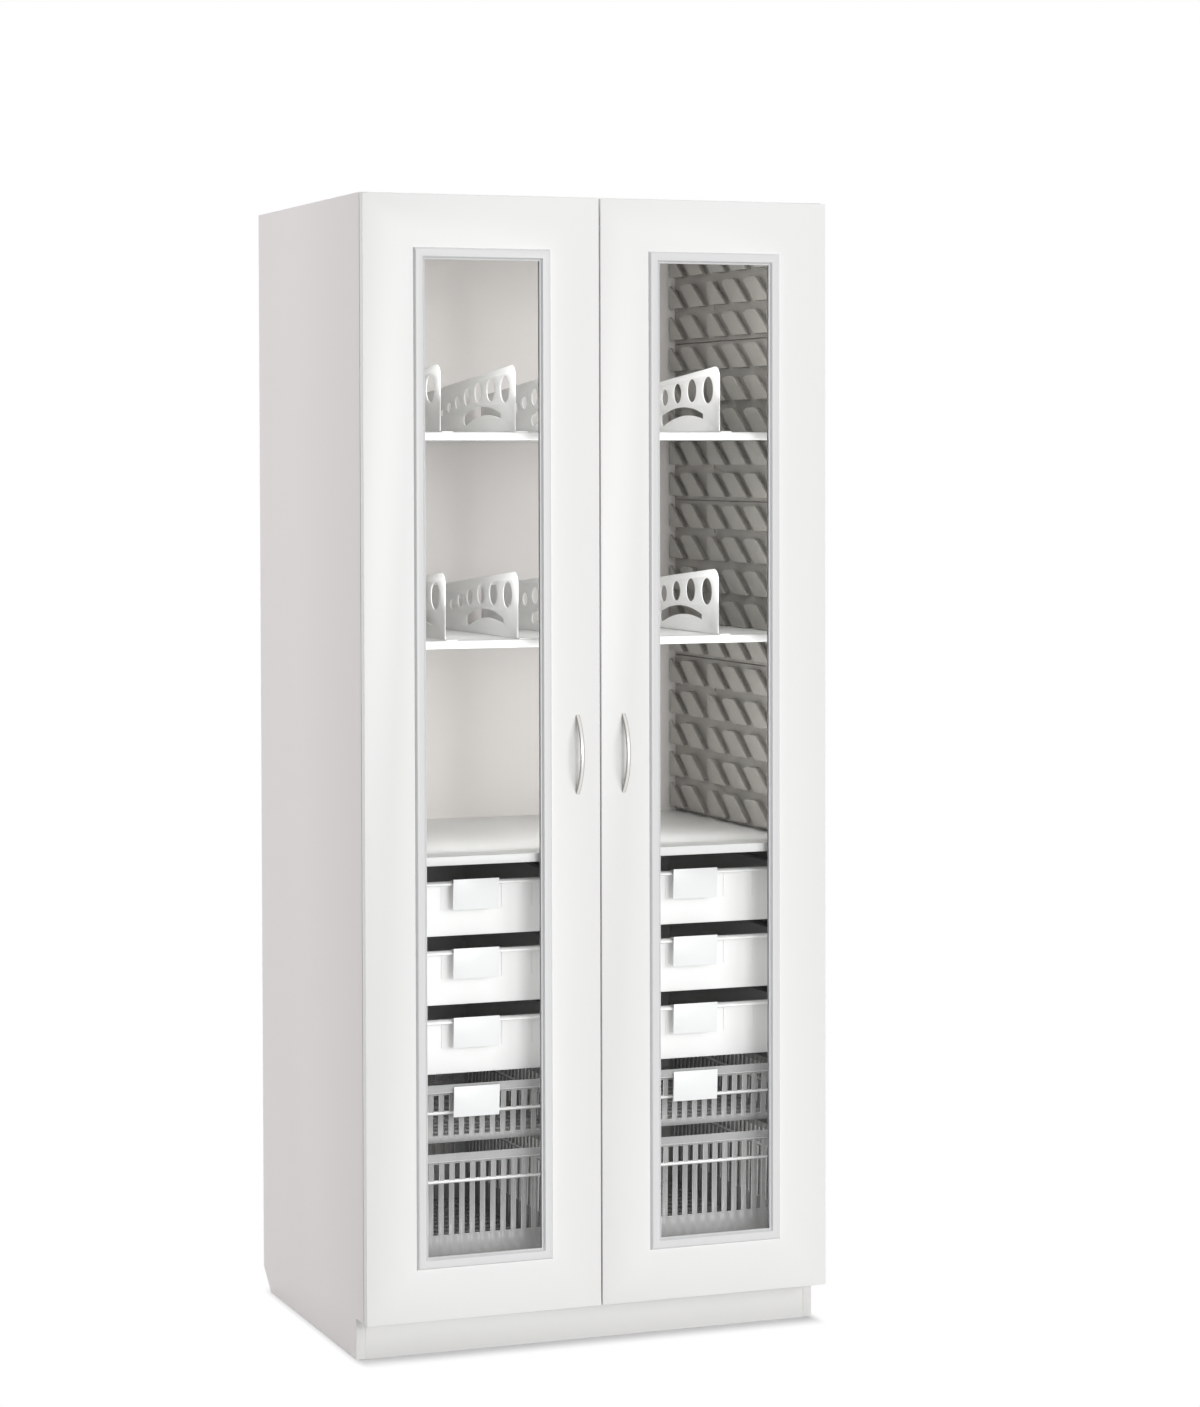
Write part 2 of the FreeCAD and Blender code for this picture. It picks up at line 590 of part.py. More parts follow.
def door(side):
    """A board with a window, its ogee moulding, the pane, the bead behind it, the handle and hinge flanges."""
    edges = sorted((side * DOOR_SEAM / 2, side * HALF_WIDTH))
    x_low, x_high = edges
    lap = WINDOW_INSET + MOULDING_LAP
    opening = box(
        x_low + lap, x_high - lap, DOOR_FRONT, DOOR_INNER, DOOR_BOTTOM + lap, DOOR_TOP - lap,
    )
    leaf = box(x_low, x_high, DOOR_FRONT, DOOR_INNER, DOOR_BOTTOM, DOOR_TOP)
    leaf = leaf.cut(opening)
    glass_front = DOOR_FRONT + GLASS_SETBACK
    glass_back = glass_front + GLASS_THICKNESS
    pane_inset = lap + GLASS_CLEARANCE
    pane = box(
        x_low + pane_inset, x_high - pane_inset, glass_front, glass_back,
        DOOR_BOTTOM + pane_inset, DOOR_TOP - pane_inset,
    )
    ogee = [
        (0.0, DOOR_FRONT),
        (0.0, DOOR_FRONT - 0.25 * MOULDING_PROUD),
        (0.15 * MOULDING_WIDTH, DOOR_FRONT - 0.8 * MOULDING_PROUD),
        (0.4 * MOULDING_WIDTH, DOOR_FRONT - MOULDING_PROUD),
        (0.65 * MOULDING_WIDTH, DOOR_FRONT - 0.75 * MOULDING_PROUD),
        (0.9 * MOULDING_WIDTH, DOOR_FRONT + 0.25 * GLASS_SETBACK),
        (MOULDING_WIDTH, DOOR_FRONT + 0.4 * GLASS_SETBACK),
        (MOULDING_WIDTH, glass_front),
        (MOULDING_LAP, glass_front),
        (MOULDING_LAP, DOOR_FRONT),
    ]
    frame_edges = (
        x_low + WINDOW_INSET, x_high - WINDOW_INSET, DOOR_BOTTOM + WINDOW_INSET, DOOR_TOP - WINDOW_INSET,
    )
    bead_section = [
        (MOULDING_LAP, glass_back),
        (MOULDING_LAP + BEAD_WIDTH, glass_back),
        (MOULDING_LAP + 0.6 * BEAD_WIDTH, DOOR_INNER),
        (MOULDING_LAP, DOOR_INNER),
    ]
    return {
        "leaf": leaf,
        "moulding": picture_frame(*frame_edges, ogee),
        "glass": pane,
        "glass_bead": picture_frame(*frame_edges, bead_section),
        "handle": bow_handle(side * HANDLE_FROM_SEAM),
        "hinge_flanges": hinge_flanges(side),
    }


def doors():
    pieces = {}
    for side_name, side in SIDES.items():
        pieces["hinge_arms_" + side_name] = hinge_arms(side)
        for piece_name, shape in door(side).items():
            pieces["door_" + side_name + "_" + piece_name] = shape
    return pieces


def main():
    os.makedirs("parts", exist_ok=True)
    nodes = {**carcass(), **guide_panels(), **shelves(), **drawers(), **doors()}
    for name, shape in nodes.items():
        if not shape.isValid():
            raise ValueError(name + " is not a valid solid")
        shape.exportStep("parts/" + name + ".step")
    print(len(nodes), "nodes")


main()
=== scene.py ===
import math

import bmesh
import bpy
from mathutils import Matrix, Vector


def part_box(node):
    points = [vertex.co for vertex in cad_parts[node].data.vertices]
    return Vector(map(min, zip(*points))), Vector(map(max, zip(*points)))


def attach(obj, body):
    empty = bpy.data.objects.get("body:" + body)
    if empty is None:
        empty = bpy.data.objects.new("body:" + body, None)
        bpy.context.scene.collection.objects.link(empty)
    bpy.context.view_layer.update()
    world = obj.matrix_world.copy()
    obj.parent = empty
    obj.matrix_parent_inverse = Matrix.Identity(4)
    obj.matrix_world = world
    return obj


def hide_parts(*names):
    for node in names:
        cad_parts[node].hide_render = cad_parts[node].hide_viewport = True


# Looks of the modular storage cabinet. Metres, +Z up, front faces -Y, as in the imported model.

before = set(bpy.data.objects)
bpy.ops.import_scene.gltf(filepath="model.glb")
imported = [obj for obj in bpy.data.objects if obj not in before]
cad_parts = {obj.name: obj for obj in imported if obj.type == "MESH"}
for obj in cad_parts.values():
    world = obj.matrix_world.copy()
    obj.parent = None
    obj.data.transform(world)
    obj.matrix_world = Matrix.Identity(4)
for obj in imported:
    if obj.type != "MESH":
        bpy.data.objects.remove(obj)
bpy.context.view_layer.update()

MM = 0.001
NEAR = 0.01 * MM

# Boards
BOARD_EASE = 0.9 * MM
PLINTH_EASE = 0.3 * MM
BACK_EASE = 0.4 * MM
SKIRTING_CUT = (50 * MM, 42 * MM)
SCREW_LIFT = 0.4 * MM
SCREW_RADIUS = 3.5 * MM
SCREW_SIDES = 14
SCREW_DRIVE_HALF = 1.782 * MM
SCREW_ROWS = 9
SCREW_ROW_MARGIN = 50 * MM
SCREW_FROM_SIDE = 12 * MM
SCREW_FROM_END = 9 * MM
WORKTOP_SCREW_LIFT = 8 * MM

# Guide panels, as the part's source has them
ROW_PITCH = 63 * MM
ROWS_PER_MODULE = 5
PLATE = 10 * MM
PLATE_EASE = 0.8 * MM
UPPER_GUIDE_FOOT = 3 * MM
LOWER_GUIDE_FOOT = 9.5 * MM
PAD_HEIGHT = 47 * MM
PAD_PITCH = 107 * MM
PAD_WIDTH = 71 * MM
PAD_SLANT = 66 * MM
PAD_TOP_NARROWING = 7 * MM
PAD_REAR_MARGIN = 11.5 * MM
PAD_FRONT_MARGIN = 3 * MM
PAD_BEHIND_KEYHOLE = 208 * MM
PAD_HEAD_CUT = (23 * MM, 5 * MM)
PAD_ROUND = 3.2 * MM
PAD_CROWN = 1.6 * MM
PAD_CAP = 4.5 * MM
PAD_UNDERCUT = 15 * MM
PAD_COUNT = 6
PAD_BY_KEYHOLE = 2
PANEL_EDGE = 7.5 * MM
PANEL_SEAM = 1.4 * MM
FOOT_LENGTH = 16 * MM
KEYHOLE_PLACES = (138 * MM, 337 * MM)
KEYHOLE_ROWS = (1, 4)
KEYHOLE = (5 * MM, 8 * MM)
KEYHOLE_LIFT = 1.5 * MM
LUG = (3 * MM, 9 * MM)
LUG_EASE = 1.2 * MM
LUG_PLACE = 0.72

# Shelves
SHEET = 1.5 * MM
SHELF_RETURN = 14 * MM
SHELF_FOLD = 2.2 * MM

# Dividers: lengths without MM are millimetres along and above the sheet
FOLD_GAP = 1.8
FOOT_RECESS = 3.5 * MM
FOOT_HEIGHT = 1.7 * MM
DIVIDER_EASE = 0.35 * MM
DIVIDER_FALL = 0.0848
DIVIDER_CORNER = 28.0
TONGUE = (128.0, 146.0)
TONGUE_TAPER = 2.0
HOLE_COUNT = 7
HOLE_SIDES = 32
HOLE_FIRST = 55.0
HOLE_FIRST_PITCH = 79.0
HOLE_PITCH_STEP = 7.6
HOLE_FIRST_DIAMETER = 50.0
HOLE_DIAMETER_STEP = 6.3
HOLE_ARC_PLACE = 95.0
HOLE_ARC_HEIGHT = 80.0
HOLE_ARC_RADIUS = 1282.0
# The hand slot's upper edge, rear end and lower edge: each arc's three points and its steps.
GRIP_ARCS = (
    ((79.0, 35.0), (177.0, 48.5), (275.0, 36.0), 12),
    ((275.0, 36.0), (287.0, 24.75), (275.0, 13.5), 8),
    ((275.0, 13.5), (177.0, 32.0), (79.0, 25.0), 12),
)

# Doors
MOULDING_LAP = 8 * MM
MOULDING_WIDTH = 21.5 * MM
MOULDING_SEAT = 2.6 * MM
MOULDING_SEAT_EDGE = (0.9 * MM, 1.6 * MM)
# Millimetres inward from the moulding's outer edge, and shares of its full height.
MOULDING_SWELL = (
    (0.2, 0.15), (2.5, 0.82), (3.8, 0.97), (6.5, 1.0), (11, 0.97), (15.4, 0.88), (16.4, 0.78),
    (18.8, 0.1), (19.2, -0.02),
)
MOULDING_BEAD = ((19.6, 0.0), (20.2, 0.2), (21.1, 0.2), (21.5, 0.04))
GLASS_BEAD_WIDTH = 11 * MM
PANE_EASE = 0.5 * MM
HANDLE_SHORTENING = 3 * MM
HANDLE_BAR = (8 * MM, 6 * MM)
HANDLE_SQUARENESS = 0.75
HANDLE_SIDES = 20
HANDLE_STEPS = 40

# Hinges
HINGE_COUNT = 4
CUP_PLATE_HALF = 30 * MM
CUP_PLATE_CORNER = 7 * MM
CUP_LIFT = 0.5 * MM
CUP_RADIUS = 15 * MM
CUP_SCREW_PLACE = 24 * MM
CUP_SCREW_RADIUS = 3.4 * MM
ARM_PLATE_DEPTH = 26 * MM
ARM_HALF = 9 * MM
ARM_PLATE_HALF = 12 * MM
ARM_EASE = 0.8 * MM

# Trays and baskets
CORNER = 9 * MM
CORNER_STEPS = 4
RIM_REACH = 17 * MM
RIM_HEIGHT = 6 * MM
DRAFT = 3 * MM
TRAY_WALL = 2.2 * MM
TRAY_FOOT = (1.2 * MM, 2 * MM)
TICK_PITCH = 58.3 * MM
TICK_HALF = 0.6 * MM
TICK_OUT = 1.6 * MM
TICK_FOOT = 52 * MM
BASKET_WALL = 4 * MM
SLOT_PITCH = 20 * MM
SLOT_WIDTH = 10.5 * MM
SLOT_MARGIN = 22 * MM
SLOT_FOOT = {"basket": 12 * MM, "deep_basket": 58 * MM}
SLOT_BELOW_RIM = 12 * MM
RIB_BELOW_RIM = 46 * MM
RIB_HALF = 3 * MM
RIB_CROWN_HALF = 1 * MM
RIB_OUT = 1.6 * MM
FLOOR_PITCH = 34 * MM
FLOOR_BAR = 8 * MM
FLOOR_MARGIN = 12 * MM
FLOOR_THICKNESS = 3 * MM
LABEL_CUT = 6 * MM
LABEL_LEAN = 3.5 * MM
LABEL_SHEET = 1.6 * MM
LABEL_OVER_RIM = 5 * MM
LABEL_HOOK_DROP = 4 * MM

DRAWER_KINDS = ("tray_top", "tray_middle", "tray_low", "basket", "deep_basket")
SIDES = {"left": -1, "right": 1}


# Finishes


class Tone:
    """A shader socket that takes part in sums."""

    def __init__(self, nodes, socket):
        self.nodes = nodes
        self.socket = socket

    def join(self, operation, left, right):
        return self.nodes.node("Math", {"operation": operation}, {0: left, 1: right})

    def __add__(self, other):
        return self.join("ADD", self, other)

    def __sub__(self, other):
        return self.join("SUBTRACT", self, other)

    def __rsub__(self, other):
        return self.join("SUBTRACT", other, self)

    def __mul__(self, other):
        return self.join("MULTIPLY", self, other)

    __radd__ = __add__
    __rmul__ = __mul__


class Nodes:
    """The node tree of a material or of the world."""

    def __init__(self, owner):
        owner.use_nodes = True
        self.tree = owner.node_tree

    def node(self, kind, settings=None, inputs=None, output=0):
        """Adds a node: its settings first, then the values or links of its sockets."""
        made = self.tree.nodes.new("ShaderNode" + kind)
        for name, value in (settings or {}).items():
            setattr(made, name, value)
        for name, value in (inputs or {}).items():
            self.feed(made.inputs[name], value)
        return Tone(self, made.outputs[output])

    def feed(self, socket, value):
        if isinstance(value, Tone):
            self.tree.links.new(value.socket, socket)
        else:
            socket.default_value = value

    def seen(self):
        """1 for the rays that show what stands behind: camera, glossy and transmission rays."""
        rays = ("Is Camera Ray", "Is Glossy Ray", "Is Transmission Ray")
        camera_ray, glossy_ray, through_ray = (self.node("LightPath", output=ray) for ray in rays)
        return camera_ray + glossy_ray + through_ray

    def show(self, output, shader):
        self.feed(self.tree.nodes[output].inputs["Surface"], shader)


class Finish(Nodes):
    """A material on one Principled shader, with the record's slot that it stands for."""

    def __init__(self, name, slot, **constants):
        self.material = bpy.data.materials.new(name)
        super().__init__(self.material)
        self.slot = slot
        self.shader = self.tree.nodes["Principled BSDF"]
        for socket, value in constants.items():
            self.shader.inputs[socket.replace("_", " ")].default_value = value
        self.place = self.node("TexCoord", output="Object")

    def noise(self, scale, detail=2.0, stretch=None):
        place = self.place
        if stretch:
            place = self.node("Mapping", {}, {"Vector": place, "Scale": stretch})
        return self.node("TexNoise", {}, {"Vector": place, "Scale": scale, "Detail": detail})

    def blend(self, factor, low, high):
        return self.node("Mix", {"data_type": "RGBA"}, {0: factor, 6: (*low, 1), 7: (*high, 1)}, 2)

    def colour(self, tone):
        self.feed(self.shader.inputs["Base Color"], tone)

    def roughness(self, tone):
        self.feed(self.shader.inputs["Roughness"], tone)

    def bump(self, height, strength, distance):
        normal = self.node("Bump", {}, {"Height": height, "Strength": strength, "Distance": distance})
        self.feed(self.shader.inputs["Normal"], normal)

    def surface(self):
        return Tone(self, self.shader.outputs[0])


def powder_coat(name, slot, low, high, rough):
    """Sprayed coating: fine orange peel, and a slow drift in tone and gloss."""
    coat = Finish(name, slot)
    peel = coat.noise(420, 3)
    drift = coat.noise(5)
    coat.colour(coat.blend(drift, low, high))
    coat.roughness(rough + drift * 0.08 + peel * 0.04)
    coat.bump(peel, 0.12, 0.3 * MM)
    return coat


def melamine(name, low, high):
    """White pressed board: a pearl grain too fine to see as a pattern, and a faint cloudiness."""
    board = Finish(name, "white_board")
    pearl = board.noise(650, 3)
    cloud = board.noise(2.2)
    board.colour(board.blend(cloud, low, high))
    board.roughness(0.34 + cloud * 0.06 + pearl * 0.06)
    board.bump(pearl, 0.10, 0.2 * MM)
    return board


def moulded_plastic(name, slot, low, high, rough, **constants):
    """Injection-moulded plastic: spark-eroded grain, and flow clouding."""
    plastic = Finish(name, slot, **constants)
    spark = plastic.node("TexVoronoi", {"feature": "F1"}, {"Vector": plastic.place, "Scale": 900})
    flow = plastic.noise(9)
    plastic.colour(plastic.blend(flow, low, high))
    plastic.roughness(rough + flow * 0.10)
    plastic.bump(spark, 0.08, 0.2 * MM)
    return plastic


def brushed_metal(name, slot, rough, stretch):
    """Plated metal with fine brush lines along one direction. Returns it and its brush pattern."""
    metal = Finish(name, slot, Metallic=1.0)
    brush = metal.noise(60, 4, stretch)
    metal.roughness(rough + brush * 0.12)
    metal.bump(brush, 0.05, 0.1 * MM)
    return metal, brush


def bow_nickel():
    """The handles' plating: a painted highlight along the crown and painted shade on the flanks, standing
    for what the bar mirrors.
    """
    metal, _ = brushed_metal("satin_nickel", "handle_nickel", 0.24, (40, 40, 1))
    low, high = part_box("door_right_handle")
    x = metal.node("SeparateXYZ", {}, {0: metal.place}, "X")
    off_centre = metal.node("Math", {"operation": "ABSOLUTE"}, {0: x}) - (low[0] + high[0]) / 2
    flank = metal.node("Math", {"operation": "ABSOLUTE"}, {0: off_centre})
    settings = {"interpolation_type": "SMOOTHSTEP"}
    # Painted shade: the colour darkens from the crown out to the flanks, and the crown's brighter colour
    # is a painted highlight.
    painted_flank_shade = metal.node("MapRange", settings, {0: flank, 1: 1.4 * MM, 2: 3.8 * MM})
    metal.colour(metal.blend(painted_flank_shade, (0.77, 0.755, 0.73), (0.34, 0.325, 0.30)))
    return metal


def bright_steel():
    """The hinges and screws: zinc-plated steel, brushed across."""
    metal, brush = brushed_metal("hinge_steel", "hinge_steel", 0.22, (1, 30, 30))
    metal.colour(metal.blend(brush, (0.55, 0.55, 0.55), (0.64, 0.64, 0.64)))
    return metal


def clear_glass():
    """A thin coated pane: what lies behind shows, with a slight sheen that grows at a slant."""
    pane = Finish("clear_glass", "pane_glass", Base_Color=(0.9, 0.95, 0.93, 1))
    smear = pane.noise(7, 3)
    pane.roughness(0.02 + smear * 0.03)
    through = pane.node("BsdfTransparent", {}, {"Color": (0.997, 1.0, 0.999, 1)})
    sheen = pane.node("Fresnel", {}, {"IOR": 1.14})
    pane.show("Material Output", pane.node("MixShader", {}, {0: sheen, 1: through, 2: pane.surface()}))
    return pane


WHITE_BOARD = melamine("white_melamine", (0.845, 0.843, 0.836), (0.862, 0.860, 0.852))
# Painted light: the sides are tinted warmer than the white board, standing for a warm cast of light on
# them.
SIDE_BOARD = melamine("side_melamine_painted_warm_light", (0.832, 0.790, 0.788), (0.850, 0.808, 0.805))
# Painted shade: a darker copy of the white board, standing for the shade on the plinth in its recess under
# the doors; the sides' faces towards the front take it too.
PLINTH_SHADED_BOARD = melamine("plinth_melamine_painted_shade", (0.745, 0.743, 0.736), (0.763, 0.761, 0.754))
BACK_BOARD = melamine("back_melamine", (0.690, 0.662, 0.645), (0.708, 0.680, 0.662))
SHELF_COAT = powder_coat(
    "shelf_powder_coat", "shelf_metal", (0.83, 0.83, 0.825), (0.855, 0.855, 0.85), 0.38,
)
DIVIDER_COAT = powder_coat(
    "divider_powder_coat", "divider_metal", (0.855, 0.855, 0.847), (0.875, 0.875, 0.867), 0.36,
)
GUIDE_PLASTIC = moulded_plastic(
    "grey_guide_plastic", "guide_plastic", (0.315, 0.302, 0.278), (0.345, 0.331, 0.305), 0.40,
)
TRAY_PLASTIC = moulded_plastic(
    "tray_plastic", "tray_plastic", (0.805, 0.805, 0.796), (0.825, 0.825, 0.816), 0.34,
)
BASKET_PLASTIC = moulded_plastic(
    "translucent_basket_plastic", "basket_plastic", (0.50, 0.50, 0.495), (0.55, 0.55, 0.545), 0.22,
    Alpha=0.50,
)
# Painted highlight: a brighter, nearly opaque copy of the basket plastic for the walls' cut edges and the
# rib, standing for light that catches them.
BASKET_PAINTED_HIGHLIGHT = moulded_plastic(
    "basket_painted_highlight", "basket_plastic", (0.88, 0.88, 0.87), (0.9, 0.9, 0.89), 0.22, Alpha=0.9,
)
LABEL_PLASTIC = moulded_plastic(
    "white_label_plastic", "label_plastic", (0.69, 0.69, 0.695), (0.705, 0.705, 0.71), 0.3,
)
MOULDING_FOIL = moulded_plastic(
    "moulding_foil", "moulding_plastic", (0.72, 0.72, 0.725), (0.735, 0.735, 0.74), 0.3,
)
PANE_GLASS = clear_glass()
NICKEL = bow_nickel()
HINGE_STEEL = bright_steel()


# Mesh work


def new_verts(pushed):
    return [item for item in pushed["geom"] if isinstance(item, bmesh.types.BMVert)]


def new_edges(pushed):
    return [item for item in pushed["geom"] if isinstance(item, bmesh.types.BMEdge)]


def block(bm, low, high):
    """A plain block between two corners. Returns its vertices."""
    made = bmesh.ops.create_cube(bm, size=1.0)["verts"]
    bmesh.ops.scale(bm, vec=[b - a for a, b in zip(low, high)], verts=made)
    bmesh.ops.translate(bm, vec=[(a + b) / 2 for a, b in zip(low, high)], verts=made)
    return made


def prism(bm, outline, travel):
    """A flat outline pushed along a vector. Returns its vertices."""
    first = [bm.verts.new(point) for point in outline]
    pushed = bmesh.ops.extrude_face_region(bm, geom=[bm.faces.new(first)])
    bmesh.ops.translate(bm, vec=travel, verts=new_verts(pushed))
    return first + new_verts(pushed)


def disc(bm, centre, radius, depth, segments=16):
    """A short cylinder that faces the rear, centred on a point."""
    turn = Vector((0, 0, 1)).rotation_difference(Vector((0, 1, 0))).to_matrix().to_4x4()
    bmesh.ops.create_cone(
        bm, cap_ends=True, segments=segments, radius1=radius, radius2=radius, depth=depth,
        matrix=Matrix.Translation(centre) @ turn,
    )


def ease(bm, width, segments=2, angle=30, edges=None):
    """Rounds the sharp edges. The rounded strips are shaded smooth."""
    limit = math.radians(angle)
    if edges is None:
        edges = [e for e in bm.edges if len(e.link_faces) == 2 and e.calc_face_angle(0) > limit]
    made = bmesh.ops.bevel(
        bm, geom=edges, offset=width, offset_type="OFFSET", segments=segments, profile=0.5,
        affect="EDGES", clamp_overlap=True, material=-1,
    )
    for face in made["faces"]:
        face.smooth = True


def mitred_frame(bm, low, high, section):
    """Four mitred bars round an upright rectangle. The section gives its (inset, y) points."""
    centre = (Vector(low) + Vector(high)) / 2
    inset, y = section[0]
    corners = [
        bm.verts.new((x, y, z))
        for x, z in (
            (low[0] + inset, low[2] + inset), (high[0] - inset, low[2] + inset),
            (high[0] - inset, high[2] - inset), (low[0] + inset, high[2] - inset),
        )
    ]
    first = [bm.edges.new((a, b)) for a, b in zip(corners, corners[1:] + corners[:1])]
    edges = first
    for next_inset, next_y in section[1:]:
        pushed = bmesh.ops.extrude_edge_only(bm, edges=edges)
        for vert in new_verts(pushed):
            vert.co.x -= math.copysign(1, vert.co.x - centre.x) * (next_inset - inset)
            vert.co.z -= math.copysign(1, vert.co.z - centre.z) * (next_inset - inset)
            vert.co.y = next_y
        edges = new_edges(pushed)
        inset = next_inset
    rim = [e for e in bm.edges if e.is_boundary]
    bmesh.ops.bridge_loops(bm, edges=rim)


def piece(name, bm, finish, body, stands_for=(), sharp=35, smooth=False):
    """Makes the mesh a piece of the object that rides on a body."""
    bmesh.ops.remove_doubles(bm, verts=bm.verts, dist=NEAR)
    bmesh.ops.recalc_face_normals(bm, faces=bm.faces)
    if smooth:
        for face in bm.faces:
            face.smooth = True
    mesh = bpy.data.meshes.new(name)
    bm.to_mesh(mesh)
    bm.free()
    mesh.set_sharp_from_angle(angle=math.radians(sharp))
    mesh.materials.append(finish.material)
    made = bpy.data.objects.new(name, mesh)
    bpy.context.scene.collection.objects.link(made)
    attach(made, body)
    if stands_for:
        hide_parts(*stands_for)
    return made


def second_finish(made, finish, faces):
    """Gives some faces of a piece another finish of the same slot."""
    made.data.materials.append(finish.material)
    for face in faces:
        face.material_index = 1


# Carcass


def board(node, ease_width=BOARD_EASE, trim=(0, 0, 0), finish=None):
    """A flat board in its node's box, with eased edges."""
    low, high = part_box(node)
    bm = bmesh.new()
    block(bm, low, [b - t for b, t in zip(high, trim)])
    ease(bm, ease_width)
    return piece(node + "_board", bm, finish or WHITE_BOARD, "cabinet", [node])


def side_board(side_name, side):
    """A full-height side: toe notch, skirting chamfer, and the rebate that the back board sits in."""
    node = "side_panel_" + side_name
    low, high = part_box(node)
    back_low, back_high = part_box("back_panel")
    plinth_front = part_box("plinth_board")[0][1]
    plinth_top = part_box("bottom_panel")[0][2]
    skirting_depth, skirting_height = SKIRTING_CUT
    outer, inner = (low[0], high[0]) if side < 0 else (high[0], low[0])
    rebate = back_high[0] if side > 0 else back_low[0]
    outline = [
        (plinth_front, 0), (high[1] - skirting_depth, 0), (high[1], skirting_height),
        (high[1], high[2]), (low[1], high[2]), (low[1], plinth_top), (plinth_front, plinth_top),
    ]
    bm = bmesh.new()
    prism(bm, [(outer, y, z) for y, z in outline], (rebate - outer, 0, 0))
    for point, normal in (((0, back_low[1], 0), (0, 1, 0)), ((0, 0, plinth_top), (0, 0, 1))):
        faces = [f for f in bm.faces if abs(f.calc_center_median().x - rebate) < NEAR]
        edges = dict.fromkeys(e for f in faces for e in f.edges)
        verts = dict.fromkeys(v for f in faces for v in f.verts)
        geometry = [*faces, *edges, *verts]
        bmesh.ops.bisect_plane(bm, geom=geometry, plane_co=point, plane_no=normal, dist=NEAR)
    thick = [
        f for f in bm.faces
        if abs(f.calc_center_median().x - rebate) < NEAR
        and (f.calc_center_median().y < back_low[1] or f.calc_center_median().z < plinth_top)
    ]
    pushed = bmesh.ops.extrude_face_region(bm, geom=thick)
    bmesh.ops.translate(bm, vec=(inner - rebate, 0, 0), verts=new_verts(pushed))
    flat = [e for e in bm.edges if len(e.link_faces) == 2 and e.calc_face_angle(0) < 0.01]
    bmesh.ops.dissolve_edges(bm, edges=flat, use_verts=True)
    ease(bm, BOARD_EASE)
    made = piece(node + "_board", bm, SIDE_BOARD, "cabinet", [node])
    # The side's faces towards the front get the darker copy of the board: painted shade.
    second_finish(made, PLINTH_SHADED_BOARD, [f for f in made.data.polygons if f.normal.y < -0.5])


def back_screws(centres, depth):
    """Flat heads with a square drive in each, facing the rear."""
    half = Vector((SCREW_DRIVE_HALF, depth / 2, SCREW_DRIVE_HALF))
    bm = bmesh.new()
    for centre in centres:
        disc(bm, centre, SCREW_RADIUS, depth, SCREW_SIDES)
        block(bm, centre - half, centre + half)
    piece("back_screws", bm, HINGE_STEEL, "cabinet")


def carcass():
    for side_name, side in SIDES.items():
        side_board(side_name, side)
    for node in ("top_panel", "bottom_panel", "rear_rail", "worktop_shelf", "centre_partition"):
        board(node)
    # The plinth in the darker copy of the white board: painted shade of the toe recess.
    board("plinth_board", PLINTH_EASE, finish=PLINTH_SHADED_BOARD)
    board("back_panel", BACK_EASE, (0, SCREW_LIFT, 0), BACK_BOARD)
    low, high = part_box("back_panel")
    y = high[1] - SCREW_LIFT / 2 - NEAR
    rise = (high[2] - low[2] - 2 * SCREW_ROW_MARGIN) / (SCREW_ROWS - 1)
    rows = [low[2] + SCREW_ROW_MARGIN + number * rise for number in range(SCREW_ROWS)]
    places = [(x, z) for z in rows for x in (low[0] + SCREW_FROM_SIDE, high[0] - SCREW_FROM_SIDE)]
    places += [(x, z) for x in (-0.2, 0, 0.2) for z in (low[2] + SCREW_FROM_END, high[2] - SCREW_FROM_END)]
    worktop_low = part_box("worktop_shelf")[0][2]
    places += [(x, worktop_low + WORKTOP_SCREW_LIFT) for x in (-0.3, -0.1, 0.1, 0.3)]
    back_screws([Vector((x, y, z)) for x, z in places], SCREW_LIFT - 2 * NEAR)


# Guide panels


def pad_outline(number, panel_back, undercut=0.0):
    """One leaning pad in the (y, z) plane, above its own foot, with its rear head cut."""
    foot = panel_back - PAD_REAR_MARGIN - PAD_WIDTH - number * PAD_PITCH
    head_back = foot + PAD_WIDTH + PAD_SLANT - PAD_TOP_NARROWING
    slope = (PAD_SLANT - PAD_TOP_NARROWING) / PAD_HEIGHT
    cut_y, cut_z = PAD_HEAD_CUT
    return [
        (foot + undercut, 0), (foot + PAD_WIDTH, 0), (head_back - cut_z * slope, PAD_HEIGHT - cut_z),
        (head_back - cut_y, PAD_HEIGHT), (foot + PAD_SLANT + undercut, PAD_HEIGHT),
    ]


def pad(outline, start, end, front_limit, rear_limit):
    """A leaning slab with round corners, cut off at the panel's ends."""
    bm = bmesh.new()
    prism(bm, [(start, y, z) for y, z in outline], (end - start, 0, 0))
    for limit, outward in ((front_limit, -1), (rear_limit, 1)):
        geometry = bm.verts[:] + bm.edges[:] + bm.faces[:]
        bmesh.ops.bisect_plane(
            bm, geom=geometry, plane_co=(0, limit, 0), plane_no=(0, outward, 0), clear_outer=True,
            dist=NEAR,
        )
        rim = [e for e in bm.edges if e.is_boundary]
        if rim:
            bmesh.ops.edgeloop_fill(bm, edges=rim)
    corners = [
        e for e in bm.edges
        if len(e.link_faces) == 2 and abs(e.verts[0].co.x - e.verts[1].co.x) > MM
    ]
    ease(bm, PAD_ROUND, 2, edges=corners)
    return bm


